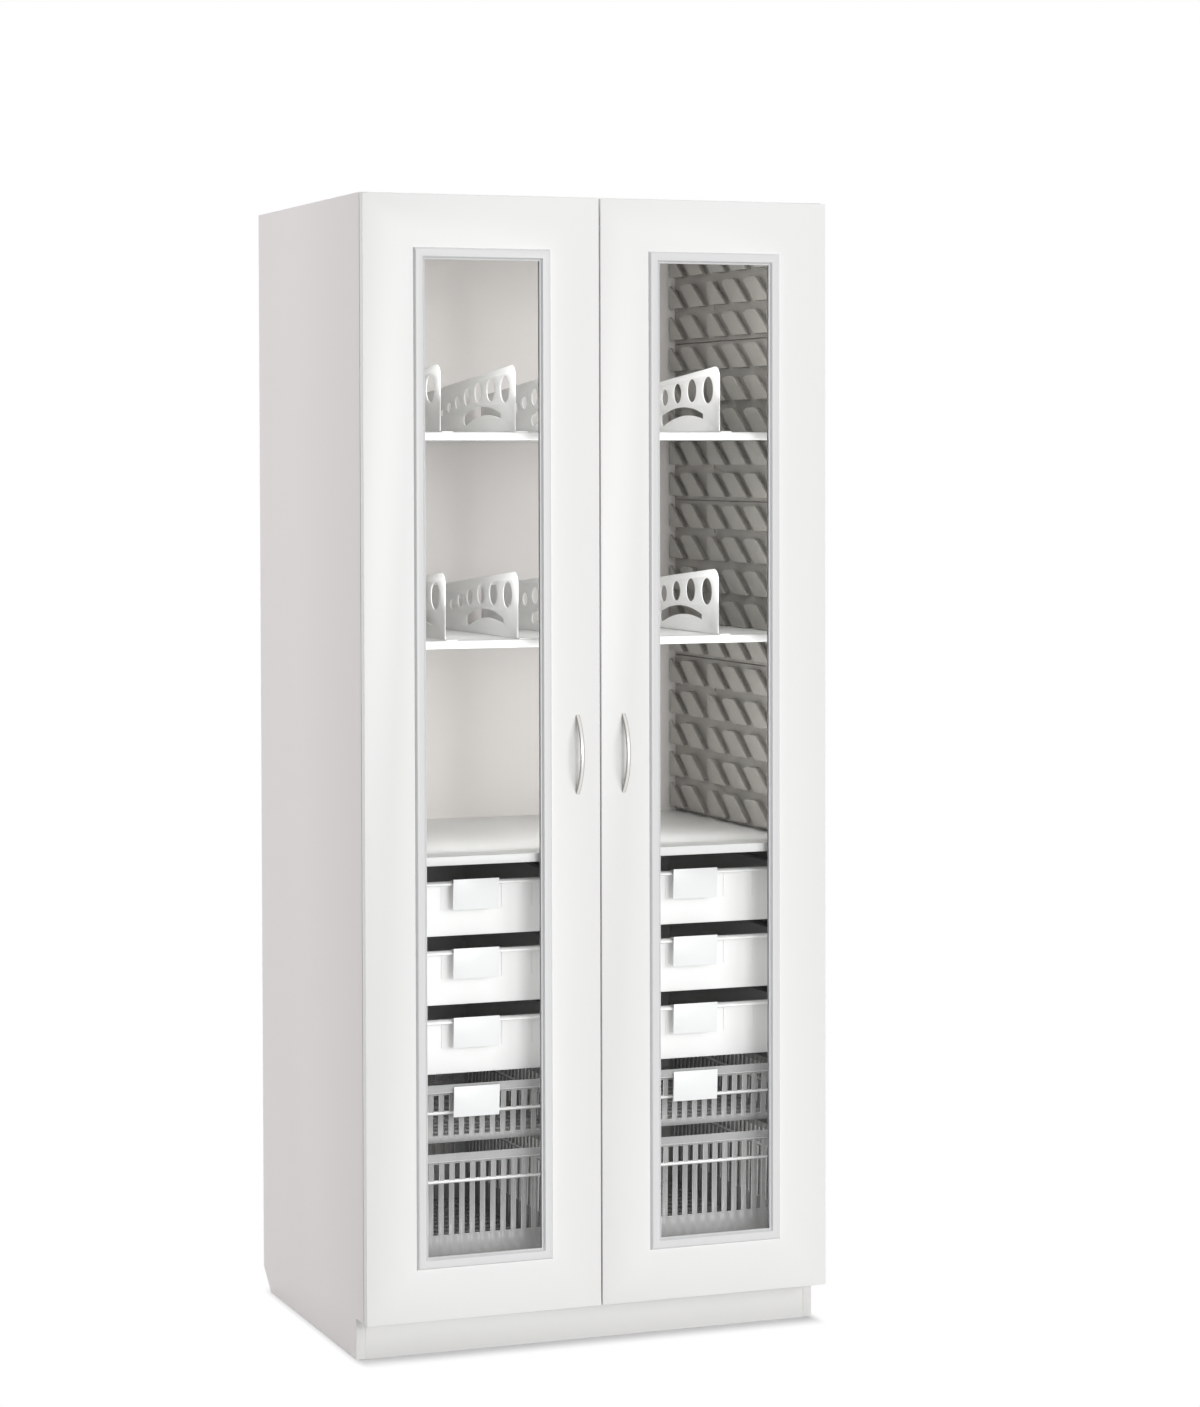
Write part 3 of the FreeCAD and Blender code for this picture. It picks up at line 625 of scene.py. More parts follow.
def guide_plate(plate_x, front, back, foot, low, high):
    """One module's plate, with its keyholes, and its two feet if it stands lower than its plate."""
    edge = [(front, low), (back, low), (back, high), (front, high)]
    if foot < low:
        edge = [
            (front, foot), (front + FOOT_LENGTH, foot), (front + FOOT_LENGTH, low),
            (back - FOOT_LENGTH, low), (back - FOOT_LENGTH, foot), (back, foot), (back, high),
            (front, high),
        ]
    outlines = [edge]
    half, length = KEYHOLE[0] / 2, KEYHOLE[1]
    for row in KEYHOLE_ROWS:
        top = low + PANEL_EDGE + row * ROW_PITCH - KEYHOLE_LIFT
        if top > high:
            continue
        for place in KEYHOLE_PLACES:
            keyhole = []
            for first, middle in ((0, top - half), (6, top - length + half)):
                for step in range(first, first + 7):
                    angle = step * math.pi / 6
                    keyhole.append((place + half * math.cos(angle), middle + half * math.sin(angle)))
            outlines.append(keyhole)
    plate = flat_sheet(outlines, PLATE, PLATE_EASE)
    upright = Matrix(((0, 0, 1, sum(plate_x) / 2), (1, 0, 0, 0), (0, 1, 0, 0), (0, 0, 0, 1)))
    bmesh.ops.transform(plate, matrix=upright, verts=plate.verts)
    return plate


def pad_row(front, back, face, top, inward):
    """One row of leaning pads at height 0: each a slim stem under a wider cap, with a lug in front."""
    bm = bmesh.new()
    cap_foot = top - inward * PAD_CAP
    for number in range(PAD_COUNT):
        rear_limit = back - (PAD_BEHIND_KEYHOLE if number == PAD_BY_KEYHOLE else PAD_REAR_MARGIN)
        stem = pad_outline(number, back, PAD_UNDERCUT)
        stem_ends = (face - inward * MM, cap_foot + inward * NEAR)
        add_to(bm, pad(stem, *stem_ends, front + PAD_UNDERCUT, rear_limit))
        cap = pad(pad_outline(number, back), cap_foot, top, front + PAD_FRONT_MARGIN, rear_limit)
        crown = [e for e in cap.edges if all(abs(v.co.x - top) < NEAR for v in e.verts)]
        ease(cap, PAD_CROWN, edges=crown)
        add_to(bm, cap)
    lug_x = sorted((face - inward * MM, face + inward * LUG[0]))
    lug_z = PAD_HEIGHT * LUG_PLACE
    lug = bmesh.new()
    block(lug, (lug_x[0], front, lug_z - LUG[1] / 2), (lug_x[1], front + LUG[0], lug_z + LUG[1] / 2))
    ease(lug, LUG_EASE)
    add_to(bm, lug)
    return bm


def guide_panel(node, side):
    """Stacked moulded modules: plates with keyholes and rows of leaning pads, on two feet."""
    low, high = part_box(node)
    wall, top, inward = (low[0], high[0], 1) if side < 0 else (high[0], low[0], -1)
    face = wall + inward * PLATE
    front, back = low[1], high[1]
    foot = low[2]
    upper = node.startswith("guide_panel_upper")
    module_low = foot + (UPPER_GUIDE_FOOT if upper else LOWER_GUIDE_FOOT)
    bm = bmesh.new()
    pads_low = []
    while module_low + PANEL_EDGE + PAD_HEIGHT < high[2]:
        module_high = min(module_low + ROWS_PER_MODULE * ROW_PITCH - PANEL_SEAM, high[2])
        add_to(bm, guide_plate((wall, face), front, back, foot, module_low, module_high))
        rows = [module_low + PANEL_EDGE + row * ROW_PITCH for row in range(ROWS_PER_MODULE)]
        pads_low += [pad_low for pad_low in rows if pad_low + PAD_HEIGHT < module_high]
        module_low += ROWS_PER_MODULE * ROW_PITCH
        foot = module_low
    pattern = pad_row(front, back, face, top, inward)
    for pad_low in pads_low:
        row = pattern.copy()
        bmesh.ops.translate(row, vec=(0, 0, pad_low), verts=row.verts)
        add_to(bm, row)
    pattern.free()
    piece(node + "_moulding", bm, GUIDE_PLASTIC, "cabinet", [node])


def add_to(bm, other):
    """Joins another mesh in, and frees it."""
    mesh = bpy.data.meshes.new("join")
    other.to_mesh(mesh)
    other.free()
    bm.from_mesh(mesh)
    bpy.data.meshes.remove(mesh)


# Shelves and dividers


def shelf(node):
    """A folded sheet shelf: rounded folds, turned-in front and rear edges."""
    low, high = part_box(node)
    bm = bmesh.new()
    block(bm, low, high)
    floor = [f for f in bm.faces if f.calc_center_median().z < low[2] + NEAR]
    bmesh.ops.delete(bm, geom=floor, context="FACES")
    lips = [
        e for e in bm.edges
        if e.is_boundary and abs(e.verts[0].co.y - e.verts[1].co.y) < NEAR
    ]
    pushed = bmesh.ops.extrude_edge_only(bm, edges=lips)
    for vert in new_verts(pushed):
        vert.co.y += math.copysign(SHELF_RETURN, (low[1] + high[1]) / 2 - vert.co.y)
    bmesh.ops.recalc_face_normals(bm, faces=bm.faces)
    folds = [e for e in bm.edges if len(e.link_faces) == 2 and e.calc_face_angle(0) > 0.5]
    ease(bm, SHELF_FOLD, 3, edges=folds)
    shell = piece(node + "_sheet", bm, SHELF_COAT, "cabinet", [node])
    thicken(shell, SHEET)


def thicken(shell, thickness):
    wall = shell.modifiers.new("wall", "SOLIDIFY")
    wall.thickness = thickness
    wall.offset = -1
    wall.use_even_offset = True


def arc_points(start, through, end, count):
    """Points along the arc through three points, without its first."""
    (ax, ay), (bx, by), (cx, cy) = start, through, end
    d = 2 * (ax * (by - cy) + bx * (cy - ay) + cx * (ay - by))
    ux = ((ax**2 + ay**2) * (by - cy) + (bx**2 + by**2) * (cy - ay) + (cx**2 + cy**2) * (ay - by)) / d
    uy = ((ax**2 + ay**2) * (cx - bx) + (bx**2 + by**2) * (ax - cx) + (cx**2 + cy**2) * (bx - ax)) / d
    radius = math.hypot(ax - ux, ay - uy)
    first = math.atan2(ay - uy, ax - ux)
    last = math.atan2(cy - uy, cx - ux)
    middle = math.atan2(by - uy, bx - ux)
    full = 2 * math.pi
    sweep = (last - first) % full
    if (middle - first) % full > sweep:
        sweep -= full
    angles = [first + sweep * k / count for k in range(1, count + 1)]
    return [(ux + radius * math.cos(angle), uy + radius * math.sin(angle)) for angle in angles]


def flat_sheet(outlines, thickness, edge):
    """A sheet with holes, in the XY plane: the first outline is its edge, the others are cut out."""
    curve = bpy.data.curves.new("sheet", "CURVE")
    curve.dimensions = "2D"
    curve.fill_mode = "BOTH"
    curve.extrude = thickness / 2 - edge
    curve.bevel_depth = edge
    curve.bevel_resolution = 1
    curve.offset = -edge
    for outline in outlines:
        spline = curve.splines.new("POLY")
        spline.points.add(len(outline) - 1)
        for point, (x, y) in zip(spline.points, outline):
            point.co = (x, y, 0, 1)
        spline.use_cyclic_u = True
    holder = bpy.data.objects.new("sheet", curve)
    bpy.context.scene.collection.objects.link(holder)
    evaluated = holder.evaluated_get(bpy.context.evaluated_depsgraph_get())
    mesh = bpy.data.meshes.new_from_object(evaluated)
    bm = bmesh.new()
    bm.from_mesh(mesh)
    bpy.data.objects.remove(holder)
    bpy.data.curves.remove(curve)
    bpy.data.meshes.remove(mesh)
    return bm


def divider_outlines(length, height):
    """The sheet's edge, its round holes along a shallow arc, and the curved hand slot, from mm."""
    slope = math.atan(DIVIDER_FALL)
    tangent = DIVIDER_CORNER * math.tan((math.pi / 2 - slope) / 2)
    start = (0.0, height - tangent)
    end = (tangent * math.cos(slope), height - tangent * math.sin(slope))
    toward = Vector((-DIVIDER_CORNER, tangent)).normalized() * DIVIDER_CORNER
    through = (DIVIDER_CORNER + toward.x, height - tangent + toward.y)
    edge = [(0.0, FOLD_GAP), start] + arc_points(start, through, end, 10)
    edge += [(length, height - length * DIVIDER_FALL), (length, FOLD_GAP)]
    edge += [
        (TONGUE[1], FOLD_GAP), (TONGUE[1] - TONGUE_TAPER, 0.0), (TONGUE[0] + TONGUE_TAPER, 0.0),
        (TONGUE[0], FOLD_GAP),
    ]
    outlines = [edge]
    place = HOLE_FIRST
    for number in range(HOLE_COUNT):
        radius = (HOLE_FIRST_DIAMETER - HOLE_DIAMETER_STEP * number) / 2
        rise = HOLE_ARC_HEIGHT - (place - HOLE_ARC_PLACE) ** 2 / (2 * HOLE_ARC_RADIUS)
        angles = [2 * math.pi * k / HOLE_SIDES for k in range(HOLE_SIDES)]
        outlines.append([(place + radius * math.cos(a), rise + radius * math.sin(a)) for a in angles])
        place += HOLE_FIRST_PITCH - HOLE_PITCH_STEP * number
    slot = [GRIP_ARCS[-1][2], GRIP_ARCS[0][0]]
    for arc in GRIP_ARCS:
        slot += arc_points(*arc)
    outlines.append(slot[:-1])
    return [[(x * MM, y * MM) for x, y in outline] for outline in outlines]


def divider(node):
    """A bent perforated sheet with its foot on the shelf."""
    low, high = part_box(node)
    length, height = high[1] - low[1], high[2] - low[2]
    bm = flat_sheet(divider_outlines(length / MM, height / MM), SHEET, DIVIDER_EASE)
    upright = Matrix(((0, 0, 1, low[0] + SHEET / 2), (1, 0, 0, low[1]), (0, 1, 0, low[2]), (0, 0, 0, 1)))
    bmesh.ops.transform(bm, matrix=upright, verts=bm.verts)
    foot = bmesh.new()
    block(foot, (low[0] + FOOT_RECESS, low[1], low[2]), (high[0], high[1], low[2] + FOOT_HEIGHT))
    ease(foot, 0.4 * MM)
    add_to(bm, foot)
    piece(node + "_sheet", bm, DIVIDER_COAT, "cabinet", [node])


# Doors


def rounded(points, steps):
    """A smooth run of points through a few guide points."""
    out = []
    count = len(points)
    for index in range(count - 1):
        before = points[max(index - 1, 0)]
        a, b = points[index], points[index + 1]
        after = points[min(index + 2, count - 1)]
        for step in range(steps):
            t = step / steps
            out.append(tuple(
                0.5 * (
                    2 * p1 + (p2 - p0) * t + (2 * p0 - 5 * p1 + 4 * p2 - p3) * t * t
                    + (3 * p1 - p0 - 3 * p2 + p3) * t**3
                )
                for p0, p1, p2, p3 in zip(before, a, b, after)
            ))
    out.append(points[-1])
    return out


def door(side_name):
    """A board with a window, the moulding and the bead that hold the pane, and the handle."""
    body = side_name + "_door"
    name = "door_" + side_name + "_"
    low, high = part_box(name + "leaf")
    front, inner = low[1], high[1]
    moulding_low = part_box(name + "moulding")[0]
    glass_low, glass_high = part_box(name + "glass")
    window = moulding_low[0] - low[0] + MOULDING_LAP
    bm = bmesh.new()
    mitred_frame(bm, low, high, [(0, front), (window, front), (window, inner), (0, inner)])
    bmesh.ops.recalc_face_normals(bm, faces=bm.faces)
    ease(bm, BOARD_EASE)
    piece(name + "board", bm, WHITE_BOARD, body, [name + "leaf"])

    proud = front - moulding_low[1]
    section = [(0.0, front)]
    for curve in (MOULDING_SWELL, MOULDING_BEAD):
        section += rounded([(inset * MM, front - share * proud) for inset, share in curve], 2)
    seat = MOULDING_WIDTH - MOULDING_SEAT
    section += [
        (MOULDING_WIDTH, front + MOULDING_SEAT_EDGE[0]), (seat, front + MOULDING_SEAT_EDGE[1]),
        (seat, glass_low[1]), (MOULDING_LAP, glass_low[1]), (MOULDING_LAP, front),
    ]
    framing(name + "frame", name + "moulding", section, body)

    reach = GLASS_BEAD_WIDTH
    section = [(0.0, glass_high[1]), (reach, glass_high[1])]
    section += rounded([
        (reach, glass_high[1] + 0.6 * MM), (0.9 * reach, glass_high[1] + 2.2 * MM),
        (0.62 * reach, inner - 0.5 * MM), (0.5 * reach, inner),
    ], 3)
    section += [(0.0, inner)]
    framing(name + "bead", name + "glass_bead", section, body)

    bm = bmesh.new()
    block(bm, glass_low, glass_high)
    ease(bm, PANE_EASE, 1)
    piece(name + "pane", bm, PANE_GLASS, body, [name + "glass"])
    handle(name, body)


def framing(name, node, section, body):
    """A foil-covered strip of the given section, mitred round its node's box."""
    bm = bmesh.new()
    mitred_frame(bm, *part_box(node), section)
    piece(name, bm, MOULDING_FOIL, body, [node], sharp=32, smooth=True)


def handle(name, body):
    """A bow of soft-edged bar, spun along its arc, with its ends on the door."""
    low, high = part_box(name + "handle")
    low.z += HANDLE_SHORTENING
    half = (high[2] - low[2]) / 2
    rise = high[1] - low[1]
    radius = (half**2 + rise**2) / (2 * rise)
    centre = Vector(((low[0] + high[0]) / 2, low[1] + radius, (low[2] + high[2]) / 2))
    width, thickness = HANDLE_BAR
    reach = math.asin(half / radius)
    bm = bmesh.new()
    ring = []
    for step in range(HANDLE_SIDES):
        angle = 2 * math.pi * step / HANDLE_SIDES
        x, y = (
            math.copysign(abs(part) ** HANDLE_SQUARENESS, part) * size / 2
            for part, size in ((math.cos(angle), width), (math.sin(angle), thickness))
        )
        ring.append(bm.verts.new((centre.x + x, low[1] + thickness / 2 + y, centre.z)))
    face = bm.faces.new(ring)
    bmesh.ops.rotate(bm, cent=centre, matrix=Matrix.Rotation(-reach, 3, "X"), verts=ring)
    bmesh.ops.spin(
        bm, geom=[face] + list(face.edges) + ring, cent=centre, axis=(1, 0, 0), angle=2 * reach,
        steps=HANDLE_STEPS, use_duplicate=False,
    )
    for limit, normal in (((0, high[1], 0), (0, 1, 0)), (high, (0, 0, 1)), (low, (0, 0, -1))):
        geometry = bm.verts[:] + bm.edges[:] + bm.faces[:]
        bmesh.ops.bisect_plane(
            bm, geom=geometry, plane_co=limit, plane_no=normal, clear_outer=True, dist=NEAR,
        )
    bmesh.ops.holes_fill(bm, edges=[e for e in bm.edges if e.is_boundary])
    piece(name + "bow", bm, NICKEL, body, [name + "handle"], sharp=40, smooth=True)


# Trays, baskets and labels


def ring_points(half_x, half_y, marks_x, marks_y):
    """The points round a rectangle with round corners, counterclockwise, with marks along its sides."""
    points = []
    for quarter in range(4):
        turn = Matrix.Rotation(quarter * math.pi / 2, 2)
        along, out, marks = (half_x, half_y, marks_x) if quarter % 2 == 0 else (half_y, half_x, marks_y)
        for mark in marks:
            points.append(turn @ Vector((mark, -out)))
        for step in range(CORNER_STEPS + 1):
            angle = -math.pi / 2 + step * math.pi / 2 / CORNER_STEPS
            points.append(turn @ Vector((
                along - CORNER + CORNER * math.cos(angle), -out + CORNER + CORNER * math.sin(angle),
            )))
    return points


def push_wall(verts, half_x, half_y, out, z):
    """Moves a ring outward from where it is, corners with it, and up to height z."""
    for vert in verts:
        if abs(vert.co.x) > half_x - CORNER - NEAR:
            vert.co.x += math.copysign(out, vert.co.x)
        if abs(vert.co.y) > half_y - CORNER - NEAR:
            vert.co.y += math.copysign(out, vert.co.y)
        vert.co.z = z


def drawer_shell(half_x, half_y, levels, marks_x=(), marks_y=()):
    """Walls raised from a foot ring through (outward, height) levels. Returns the mesh."""
    bm = bmesh.new()
    out, foot_z = levels[0]
    half_x, half_y = half_x + out, half_y + out
    ring = [bm.verts.new((*point, foot_z)) for point in ring_points(half_x, half_y, marks_x, marks_y)]
    edges = [bm.edges.new((a, b)) for a, b in zip(ring, ring[1:] + ring[:1])]
    for next_out, z in levels[1:]:
        pushed = bmesh.ops.extrude_edge_only(bm, edges=edges)
        push_wall(new_verts(pushed), half_x, half_y, next_out - out, z)
        half_x += next_out - out
        half_y += next_out - out
        out = next_out
        edges = new_edges(pushed)
    return bm


def slot_marks(half, margin):
    """Slot edges along a wall, in pairs, centred."""
    count = int((2 * (half - margin) + SLOT_PITCH - SLOT_WIDTH) // SLOT_PITCH)
    first = -(count - 1) / 2 * SLOT_PITCH
    marks = []
    for number in range(count):
        centre = first + number * SLOT_PITCH
        marks += [centre - SLOT_WIDTH / 2, centre + SLOT_WIDTH / 2]
    return marks


def rim_levels(top, wall):
    """The rim's underside: out from the wall, then down a lip with a bead at its foot."""
    under = top - wall
    reach = RIM_REACH - wall
    return [
        (0.0, under), (reach - 1.0 * MM, under), (reach, under - 0.8 * MM),
        (reach - 0.9 * MM, top - 3.4 * MM), (reach - 0.9 * MM, top - 4.4 * MM), (reach, top - RIM_HEIGHT),
    ]


def lean(z, height):
    """The wall's place at a height, outward from its place at the rim: negative, for the draft."""
    return -DRAFT * (1 - z / height)


def basket_levels(kind, height):
    """A basket's wall levels, and the heights between which each of its two rows of slots runs."""
    rib = height - RIB_BELOW_RIM
    rows = ((SLOT_FOOT[kind], rib - RIB_HALF), (rib + RIB_HALF, height - SLOT_BELOW_RIM))
    crown = (rib - RIB_CROWN_HALF, rib + RIB_CROWN_HALF)
    heights = [0.0, *rows[0], *crown, *rows[1]]
    levels = [(lean(z, height) + (RIB_OUT if z in crown else 0), z) for z in heights]
    return levels, rows


def drawer(kind, side_name):
    """A tray with ribs or a basket with slots, both with a rolled rim."""
    node = kind + "_" + side_name
    body = "drawer_" + node
    low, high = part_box(node)
    centre = Vector(((low[0] + high[0]) / 2, (low[1] + high[1]) / 2, 0))
    half_x = (high[0] - low[0]) / 2 - RIM_REACH
    half_y = (high[1] - low[1]) / 2 - RIM_REACH
    height = high[2] - low[2]
    if "basket" in kind:
        wall, finish = BASKET_WALL, BASKET_PLASTIC
        levels, rows = basket_levels(kind, height)
        marks = [slot_marks(half, SLOT_MARGIN) for half in (half_x, half_y)]
        shell = drawer_shell(half_x, half_y, levels + rim_levels(height, wall), *marks)
        open_slots(shell, *marks, rows)
    else:
        wall, finish = TRAY_WALL, TRAY_PLASTIC
        foot_in, foot_top = TRAY_FOOT
        levels = [(lean(0, height) - foot_in, 0.0), (lean(0, height), foot_top)]
        shell = drawer_shell(half_x, half_y, levels + rim_levels(height, wall))
        foot = [e for e in shell.edges if e.is_boundary and all(v.co.z < MM for v in e.verts)]
        bmesh.ops.edgeloop_fill(shell, edges=foot)
    bmesh.ops.translate(shell, vec=(centre.x, centre.y, low[2]), verts=shell.verts)
    made = piece(node + "_shell", shell, finish, body, [node], sharp=40, smooth=True)
    turn_outward(made, centre, low[2] + height / 2)
    thicken(made, wall)
    if "basket" in kind:
        # Painted highlight: the rib's faces and the cut edges of the walls get the brighter copy of the
        # plastic.
        rib = high[2] - RIB_BELOW_RIM + RIB_CROWN_HALF
        near_rib = [f for f in made.data.polygons if abs(f.center.z - rib) < RIB_HALF - 0.5 * MM]
        second_finish(made, BASKET_PAINTED_HIGHLIGHT, near_rib)
        made.modifiers["wall"].material_offset_rim = 1
        inset = DRAFT + wall / 2
        slotted_floor(node, body, centre, (half_x - inset, half_y - inset), low[2])
    else:
        tick_ribs(node, body, centre, half_y, low[2], height)


def turn_outward(shell, centre, middle):
    """The shell is open, so its normals are set by its front wall, which must face the front."""
    mesh = shell.data

    def off_wall(face):
        return abs(face.center.z - middle) + abs(face.normal.x) * 10 + (face.center.y - centre.y)

    if min(mesh.polygons, key=off_wall).normal.y > 0:
        mesh.flip_normals()


def open_slots(shell, marks_x, marks_y, rows):
    """Takes out the faces between each pair of slot marks in each row."""
    shell.faces.ensure_lookup_table()
    doomed = []
    for face in shell.faces:
        middle = face.calc_center_median()
        if not any(low - NEAR < middle.z < high + NEAR for low, high in rows):
            continue
        marks, along = (marks_x, middle.x) if abs(face.normal.y) > 0.7 else (marks_y, middle.y)
        if any(a < along < b for a, b in zip(marks[::2], marks[1::2])):
            doomed.append(face)
    bmesh.ops.delete(shell, geom=doomed, context="FACES")


def slotted_floor(node, body, centre, reach, z):
    """A basket's floor: short slots in rows."""
    half_x, half_y = reach
    columns = slot_marks(half_x, FLOOR_MARGIN)
    count = int((2 * half_y - 2 * FLOOR_MARGIN) // FLOOR_PITCH)
    slot_half = (FLOOR_PITCH - FLOOR_BAR) / 2
    rows = []
    for number in range(count):
        middle = (number - (count - 1) / 2) * FLOOR_PITCH
        rows += [middle - slot_half, middle + slot_half]
    bm = bmesh.new()
    xs = [-half_x] + columns + [half_x]
    ys = [-half_y] + rows + [half_y]
    bmesh.ops.create_grid(bm, x_segments=len(xs) - 1, y_segments=len(ys) - 1, size=0.5)
    grid_x = sorted({round(v.co.x, 6) for v in bm.verts})
    grid_y = sorted({round(v.co.y, 6) for v in bm.verts})
    place_x = dict(zip(grid_x, xs))
    place_y = dict(zip(grid_y, ys))
    for vert in bm.verts:
        vert.co = (place_x[round(vert.co.x, 6)], place_y[round(vert.co.y, 6)], 0)
    doomed = []
    for face in bm.faces:
        middle = face.calc_center_median()
        in_column = any(a < middle.x < b for a, b in zip(columns[::2], columns[1::2]))
        in_row = any(a < middle.y < b for a, b in zip(rows[::2], rows[1::2]))
        if in_column and in_row:
            doomed.append(face)
    bmesh.ops.delete(bm, geom=doomed, context="FACES")
    bmesh.ops.translate(bm, vec=(centre.x, centre.y, z), verts=bm.verts)
    made = piece(node + "_floor", bm, BASKET_PLASTIC, body)
    if made.data.polygons[0].normal.z > 0:
        made.data.flip_normals()
    thicken(made, FLOOR_THICKNESS)


def tick_ribs(node, body, centre, half_y, z, height):
    """Slim upright ribs under the rim on a tray's front and rear walls."""
    bm = bmesh.new()
    foot, top = z + height - TICK_FOOT, z + height - RIM_HEIGHT
    for number in range(-2, 3):
        x = centre.x + number * TICK_PITCH
        for end in (-1, 1):
            y = centre.y + end * half_y
            low, high = (x - TICK_HALF, y - TICK_OUT, foot), (x + TICK_HALF, y + TICK_OUT, top)
            for vert in block(bm, low, high):
                vert.co.y += end * lean(vert.co.z - z, height)
    piece(node + "_ribs", bm, TRAY_PLASTIC, body)


def label(node, body):
    """A leaning card holder hooked over the rim, with its card."""
    low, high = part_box(node)
    foot = low[2] + LABEL_CUT
    back = low[1] + LABEL_LEAN
    hook = low[1] + 2 * LABEL_SHEET
    rim_top = high[2] - LABEL_OVER_RIM
    outline = [
        (low[1], high[2]), (back, foot), (back + LABEL_SHEET, foot), (hook, rim_top - LABEL_HOOK_DROP),
        (hook, rim_top), (high[1], rim_top), (high[1], rim_top + LABEL_SHEET),
        (hook, rim_top + LABEL_SHEET), (low[1] + LABEL_SHEET, high[2]),
    ]
    bm = bmesh.new()
    prism(bm, [(low[0], y, z) for y, z in outline], (high[0] - low[0], 0, 0))
    ease(bm, 0.35 * MM)
    piece(node + "_holder", bm, LABEL_PLASTIC, body, [node])


def hinges(side_name, side):
    """Concealed hinges: cup flanges with their screws on the door, stepped arms on the side."""
    flange_node = "door_" + side_name + "_hinge_flanges"
    arm_node = "hinge_arms_" + side_name
    low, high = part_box(flange_node)
    first, last = low[2] + CUP_PLATE_HALF, high[2] - CUP_PLATE_HALF
    heights = [first + (last - first) * number / (HINGE_COUNT - 1) for number in range(HINGE_COUNT)]
    cup_x = (low[0] + high[0]) / 2
    face = high[1] - CUP_LIFT
    bm = bmesh.new()
    for z in heights:
        plate = block(bm, (low[0], low[1], z - CUP_PLATE_HALF), (high[0], face, z + CUP_PLATE_HALF))
        upright = [
            e for e in bm.edges
            if e.verts[0] in plate and abs(e.verts[0].co.y - e.verts[1].co.y) > 0.5 * MM
        ]
        ease(bm, CUP_PLATE_CORNER, 4, edges=upright)
        disc(bm, (cup_x, face, z), CUP_RADIUS, 0.9 * MM, 32)
        for end in (-1, 1):
            place = (cup_x, face + 0.05 * MM, z + end * CUP_SCREW_PLACE)
            disc(bm, place, CUP_SCREW_RADIUS, 0.8 * MM)
    piece("door_" + side_name + "_hinge_cups", bm, HINGE_STEEL, side_name + "_door", [flange_node])

    low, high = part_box(arm_node)
    wall, tip = (high[0], low[0]) if side > 0 else (low[0], high[0])
    plate_front = high[1] - ARM_PLATE_DEPTH
    outline = [
        (wall, low[1]), (tip, low[1]), (tip, plate_front - 4 * MM),
        (wall + (tip - wall) * 0.55, plate_front + 6 * MM), (wall + (tip - wall) * 0.24, high[1]),
        (wall, high[1]),
    ]
    plate_x = sorted((wall, wall + (tip - wall) * 0.14))
    bm = bmesh.new()
    for z in heights:
        prism(bm, [(x, y, z - ARM_HALF) for x, y in outline], (0, 0, 2 * ARM_HALF))
        plate_low, plate_high = z - ARM_PLATE_HALF, z + ARM_PLATE_HALF
        block(bm, (plate_x[0], plate_front, plate_low), (plate_x[1], high[1], plate_high))
    ease(bm, ARM_EASE)
    piece(arm_node + "_steel", bm, HINGE_STEEL, "cabinet", [arm_node])


# Studio

WHITE = (1, 1, 1, 1)
AMBIENT = 0.20
# The lamps inside the compartments stand for the daylight that the panes let in. No lamp is seen,
# and only the key is mirrored. Each row: place, target, size and power.
LAMPS = {
    "key": ((0.523, -10.273, 1.623), (0, -0.3, 1.1), (3.4, 3.4), 455),
    "right": ((4.441, -9.015, 3.179), (0, -0.3, 1.1), (3.4, 3.4), 270),
    "left": ((-4.559, 1.359, 2.31), (0, -0.3, 1.1), (2.6, 2.6), 102),
    "rear": ((3.864, 6.392, 3.171), (0, -0.3, 1.1), (3.0, 3.0), 270),
    "overhead": ((0, -0.6, 5.0), (0, -0.2, 0), (3.0, 3.0), 42),
    "door_lamp": ((0, -0.30, 1.09), (0, 0.3, 1.09), (0.84, 1.95), 0.60),
    "worktop_lamp": ((0, -0.283, 1.12), (0, 0.3, 1.20), (0.84, 0.29), 1.6),
    "lower_shelf_lamp": ((0, -0.283, 1.50), (0, 0.3, 1.58), (0.84, 0.28), 1.32),
    "upper_shelf_lamp": ((0, -0.283, 1.90), (0, 0.3, 1.98), (0.84, 0.32), 1.68),
    "tray_lamp": ((0, -0.30, 0.47), (0, 0.3, 0.47), (0.84, 0.76), 0.60),
    "basket_lamp": ((0, -0.20, 0.27), (0, 0.3, 0.27), (0.80, 0.32), 0.62),
}
FLOOR_SIZE = 6.0
FLOOR_TONE = 0.64
FLOOR_FADE = (1.3, 3.2)
# The soft dark edge under the cabinet: half size and middle of its footprint, how much faster it
# pales sideways, the distances over which it pales, and the share of white left at the foot.
FOOTPRINT_HALF = (0.44, 0.272, 0)
FOOTPRINT_MIDDLE = (0, 0.012, 0)
SIDEWAYS = (3, 1, 0)
CONTACT_REACH = (-0.01, 0.075)
CONTACT_WHITE = 0.14

# Camera: millimetres for the lens, metres for its place, and degrees
SENSOR_WIDTH = 36
FOCAL_LENGTH = 91.486
LENS_SHIFT = -0.1
STANDPOINT = (-2.33798, -6.3977, 1.63081)
HEADING = -21.054
PITCH = -1.718
ROLL = -0.133


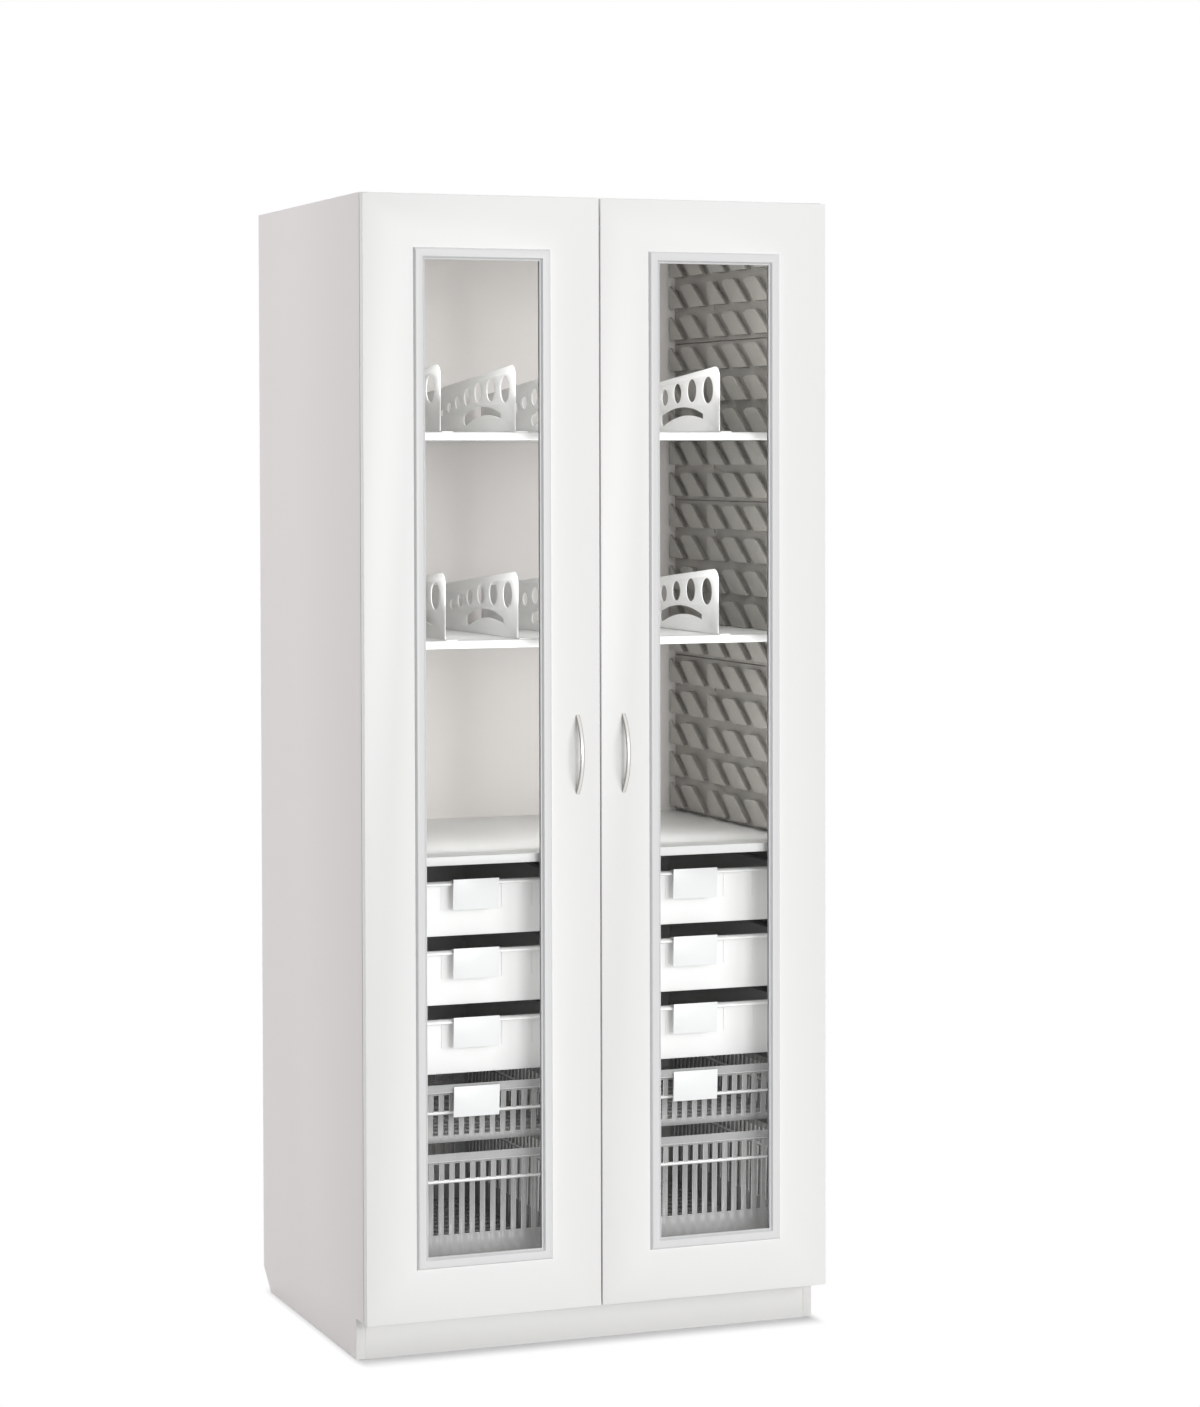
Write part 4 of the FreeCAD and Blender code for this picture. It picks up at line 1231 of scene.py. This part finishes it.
def studio_floor():
    """A floor that rays see as white, apart from the contact shadow, and that fades out far away."""
    bm = bmesh.new()
    bmesh.ops.create_grid(bm, x_segments=1, y_segments=1, size=FLOOR_SIZE)
    mesh = bpy.data.meshes.new("studio_floor")
    bm.to_mesh(mesh)
    bm.free()
    floor = bpy.data.objects.new("studio_floor", mesh)
    bpy.context.scene.collection.objects.link(floor)
    grey = (FLOOR_TONE, FLOOR_TONE, FLOOR_TONE, 1)
    sweep = Finish("studio_floor", None, Base_Color=grey, Roughness=0.9, Specular_IOR_Level=0.0)
    smooth = {"interpolation_type": "SMOOTHSTEP"}

    def vector(operation, left, right=None, output=0):
        inputs = {0: left} if right is None else {0: left, 1: right}
        return sweep.node("VectorMath", {"operation": operation}, inputs, output)

    distance = vector("LENGTH", sweep.place, output="Value")
    fade = sweep.node("MapRange", smooth, {0: distance, 1: FLOOR_FADE[0], 2: FLOOR_FADE[1]})
    across = vector("ABSOLUTE", vector("SUBTRACT", sweep.place, FOOTPRINT_MIDDLE))
    outside = vector("MAXIMUM", vector("SUBTRACT", across, FOOTPRINT_HALF), (0, 0, 0))
    away = vector("LENGTH", vector("MULTIPLY", outside, SIDEWAYS), output="Value")
    reach = {0: away, 1: CONTACT_REACH[0], 2: CONTACT_REACH[1], 3: CONTACT_WHITE, 4: 1.0}
    pale = sweep.node("MapRange", smooth, reach)
    glow = sweep.node("Emission", {}, {"Color": WHITE, "Strength": 1.0})
    lit = sweep.node("MixShader", {}, {0: sweep.seen() * pale, 1: sweep.surface(), 2: glow})
    clear = sweep.node("BsdfTransparent")
    sweep.show("Material Output", sweep.node("MixShader", {}, {0: fade, 1: lit, 2: clear}))
    mesh.materials.append(sweep.material)


def white_world():
    """A dim even light, and white for the rays that show what stands behind."""
    world = bpy.data.worlds.new("studio")
    bpy.context.scene.world = world
    sky = Nodes(world)
    ambient = sky.node("Background", {}, {"Color": WHITE, "Strength": AMBIENT})
    backdrop = sky.node("Background", {}, {"Color": WHITE, "Strength": 1.0})
    sky.show("World Output", sky.node("MixShader", {}, {0: sky.seen(), 1: ambient, 2: backdrop}))


def lamps():
    for name, (place, target, size, power) in LAMPS.items():
        lamp = bpy.data.lights.new(name, "AREA")
        lamp.shape = "RECTANGLE"
        lamp.size, lamp.size_y = size
        lamp.energy = power
        holder = bpy.data.objects.new(name, lamp)
        holder.location = place
        holder.rotation_euler = (Vector(target) - Vector(place)).to_track_quat("-Z", "Y").to_euler()
        holder.visible_camera = False
        holder.visible_glossy = name == "key"
        bpy.context.scene.collection.objects.link(holder)


def camera():
    """The photograph's standpoint: left of the cabinet at eye height."""
    lens = bpy.data.cameras.new("camera")
    lens.sensor_width = SENSOR_WIDTH
    lens.lens = FOCAL_LENGTH
    lens.shift_y = LENS_SHIFT
    holder = bpy.data.objects.new("camera", lens)
    bpy.context.scene.collection.objects.link(holder)
    bpy.context.scene.camera = holder
    turn = Matrix.Rotation(math.radians(HEADING), 4, "Z")
    tilt = Matrix.Rotation(math.radians(90 + PITCH), 4, "X")
    roll = Matrix.Rotation(math.radians(ROLL), 4, "Z")
    holder.matrix_world = Matrix.Translation(STANDPOINT) @ turn @ tilt @ roll


carcass()
for side_name, side in SIDES.items():
    guide_panel("guide_panel_upper_" + side_name, side)
    guide_panel("guide_panel_lower_" + side_name + "_outer", side)
    guide_panel("guide_panel_lower_" + side_name + "_inner", -side)
    door(side_name)
    hinges(side_name, side)
    for kind in DRAWER_KINDS:
        drawer(kind, side_name)
        if kind != "deep_basket":
            label("label_" + kind + "_" + side_name, "drawer_" + kind + "_" + side_name)
for level in ("upper", "lower"):
    shelf("shelf_" + level)
    for number in range(1, 5):
        divider("divider_" + level + "_" + str(number))
studio_floor()
white_world()
lamps()
camera()
bpy.context.scene.view_settings.view_transform = "Standard"
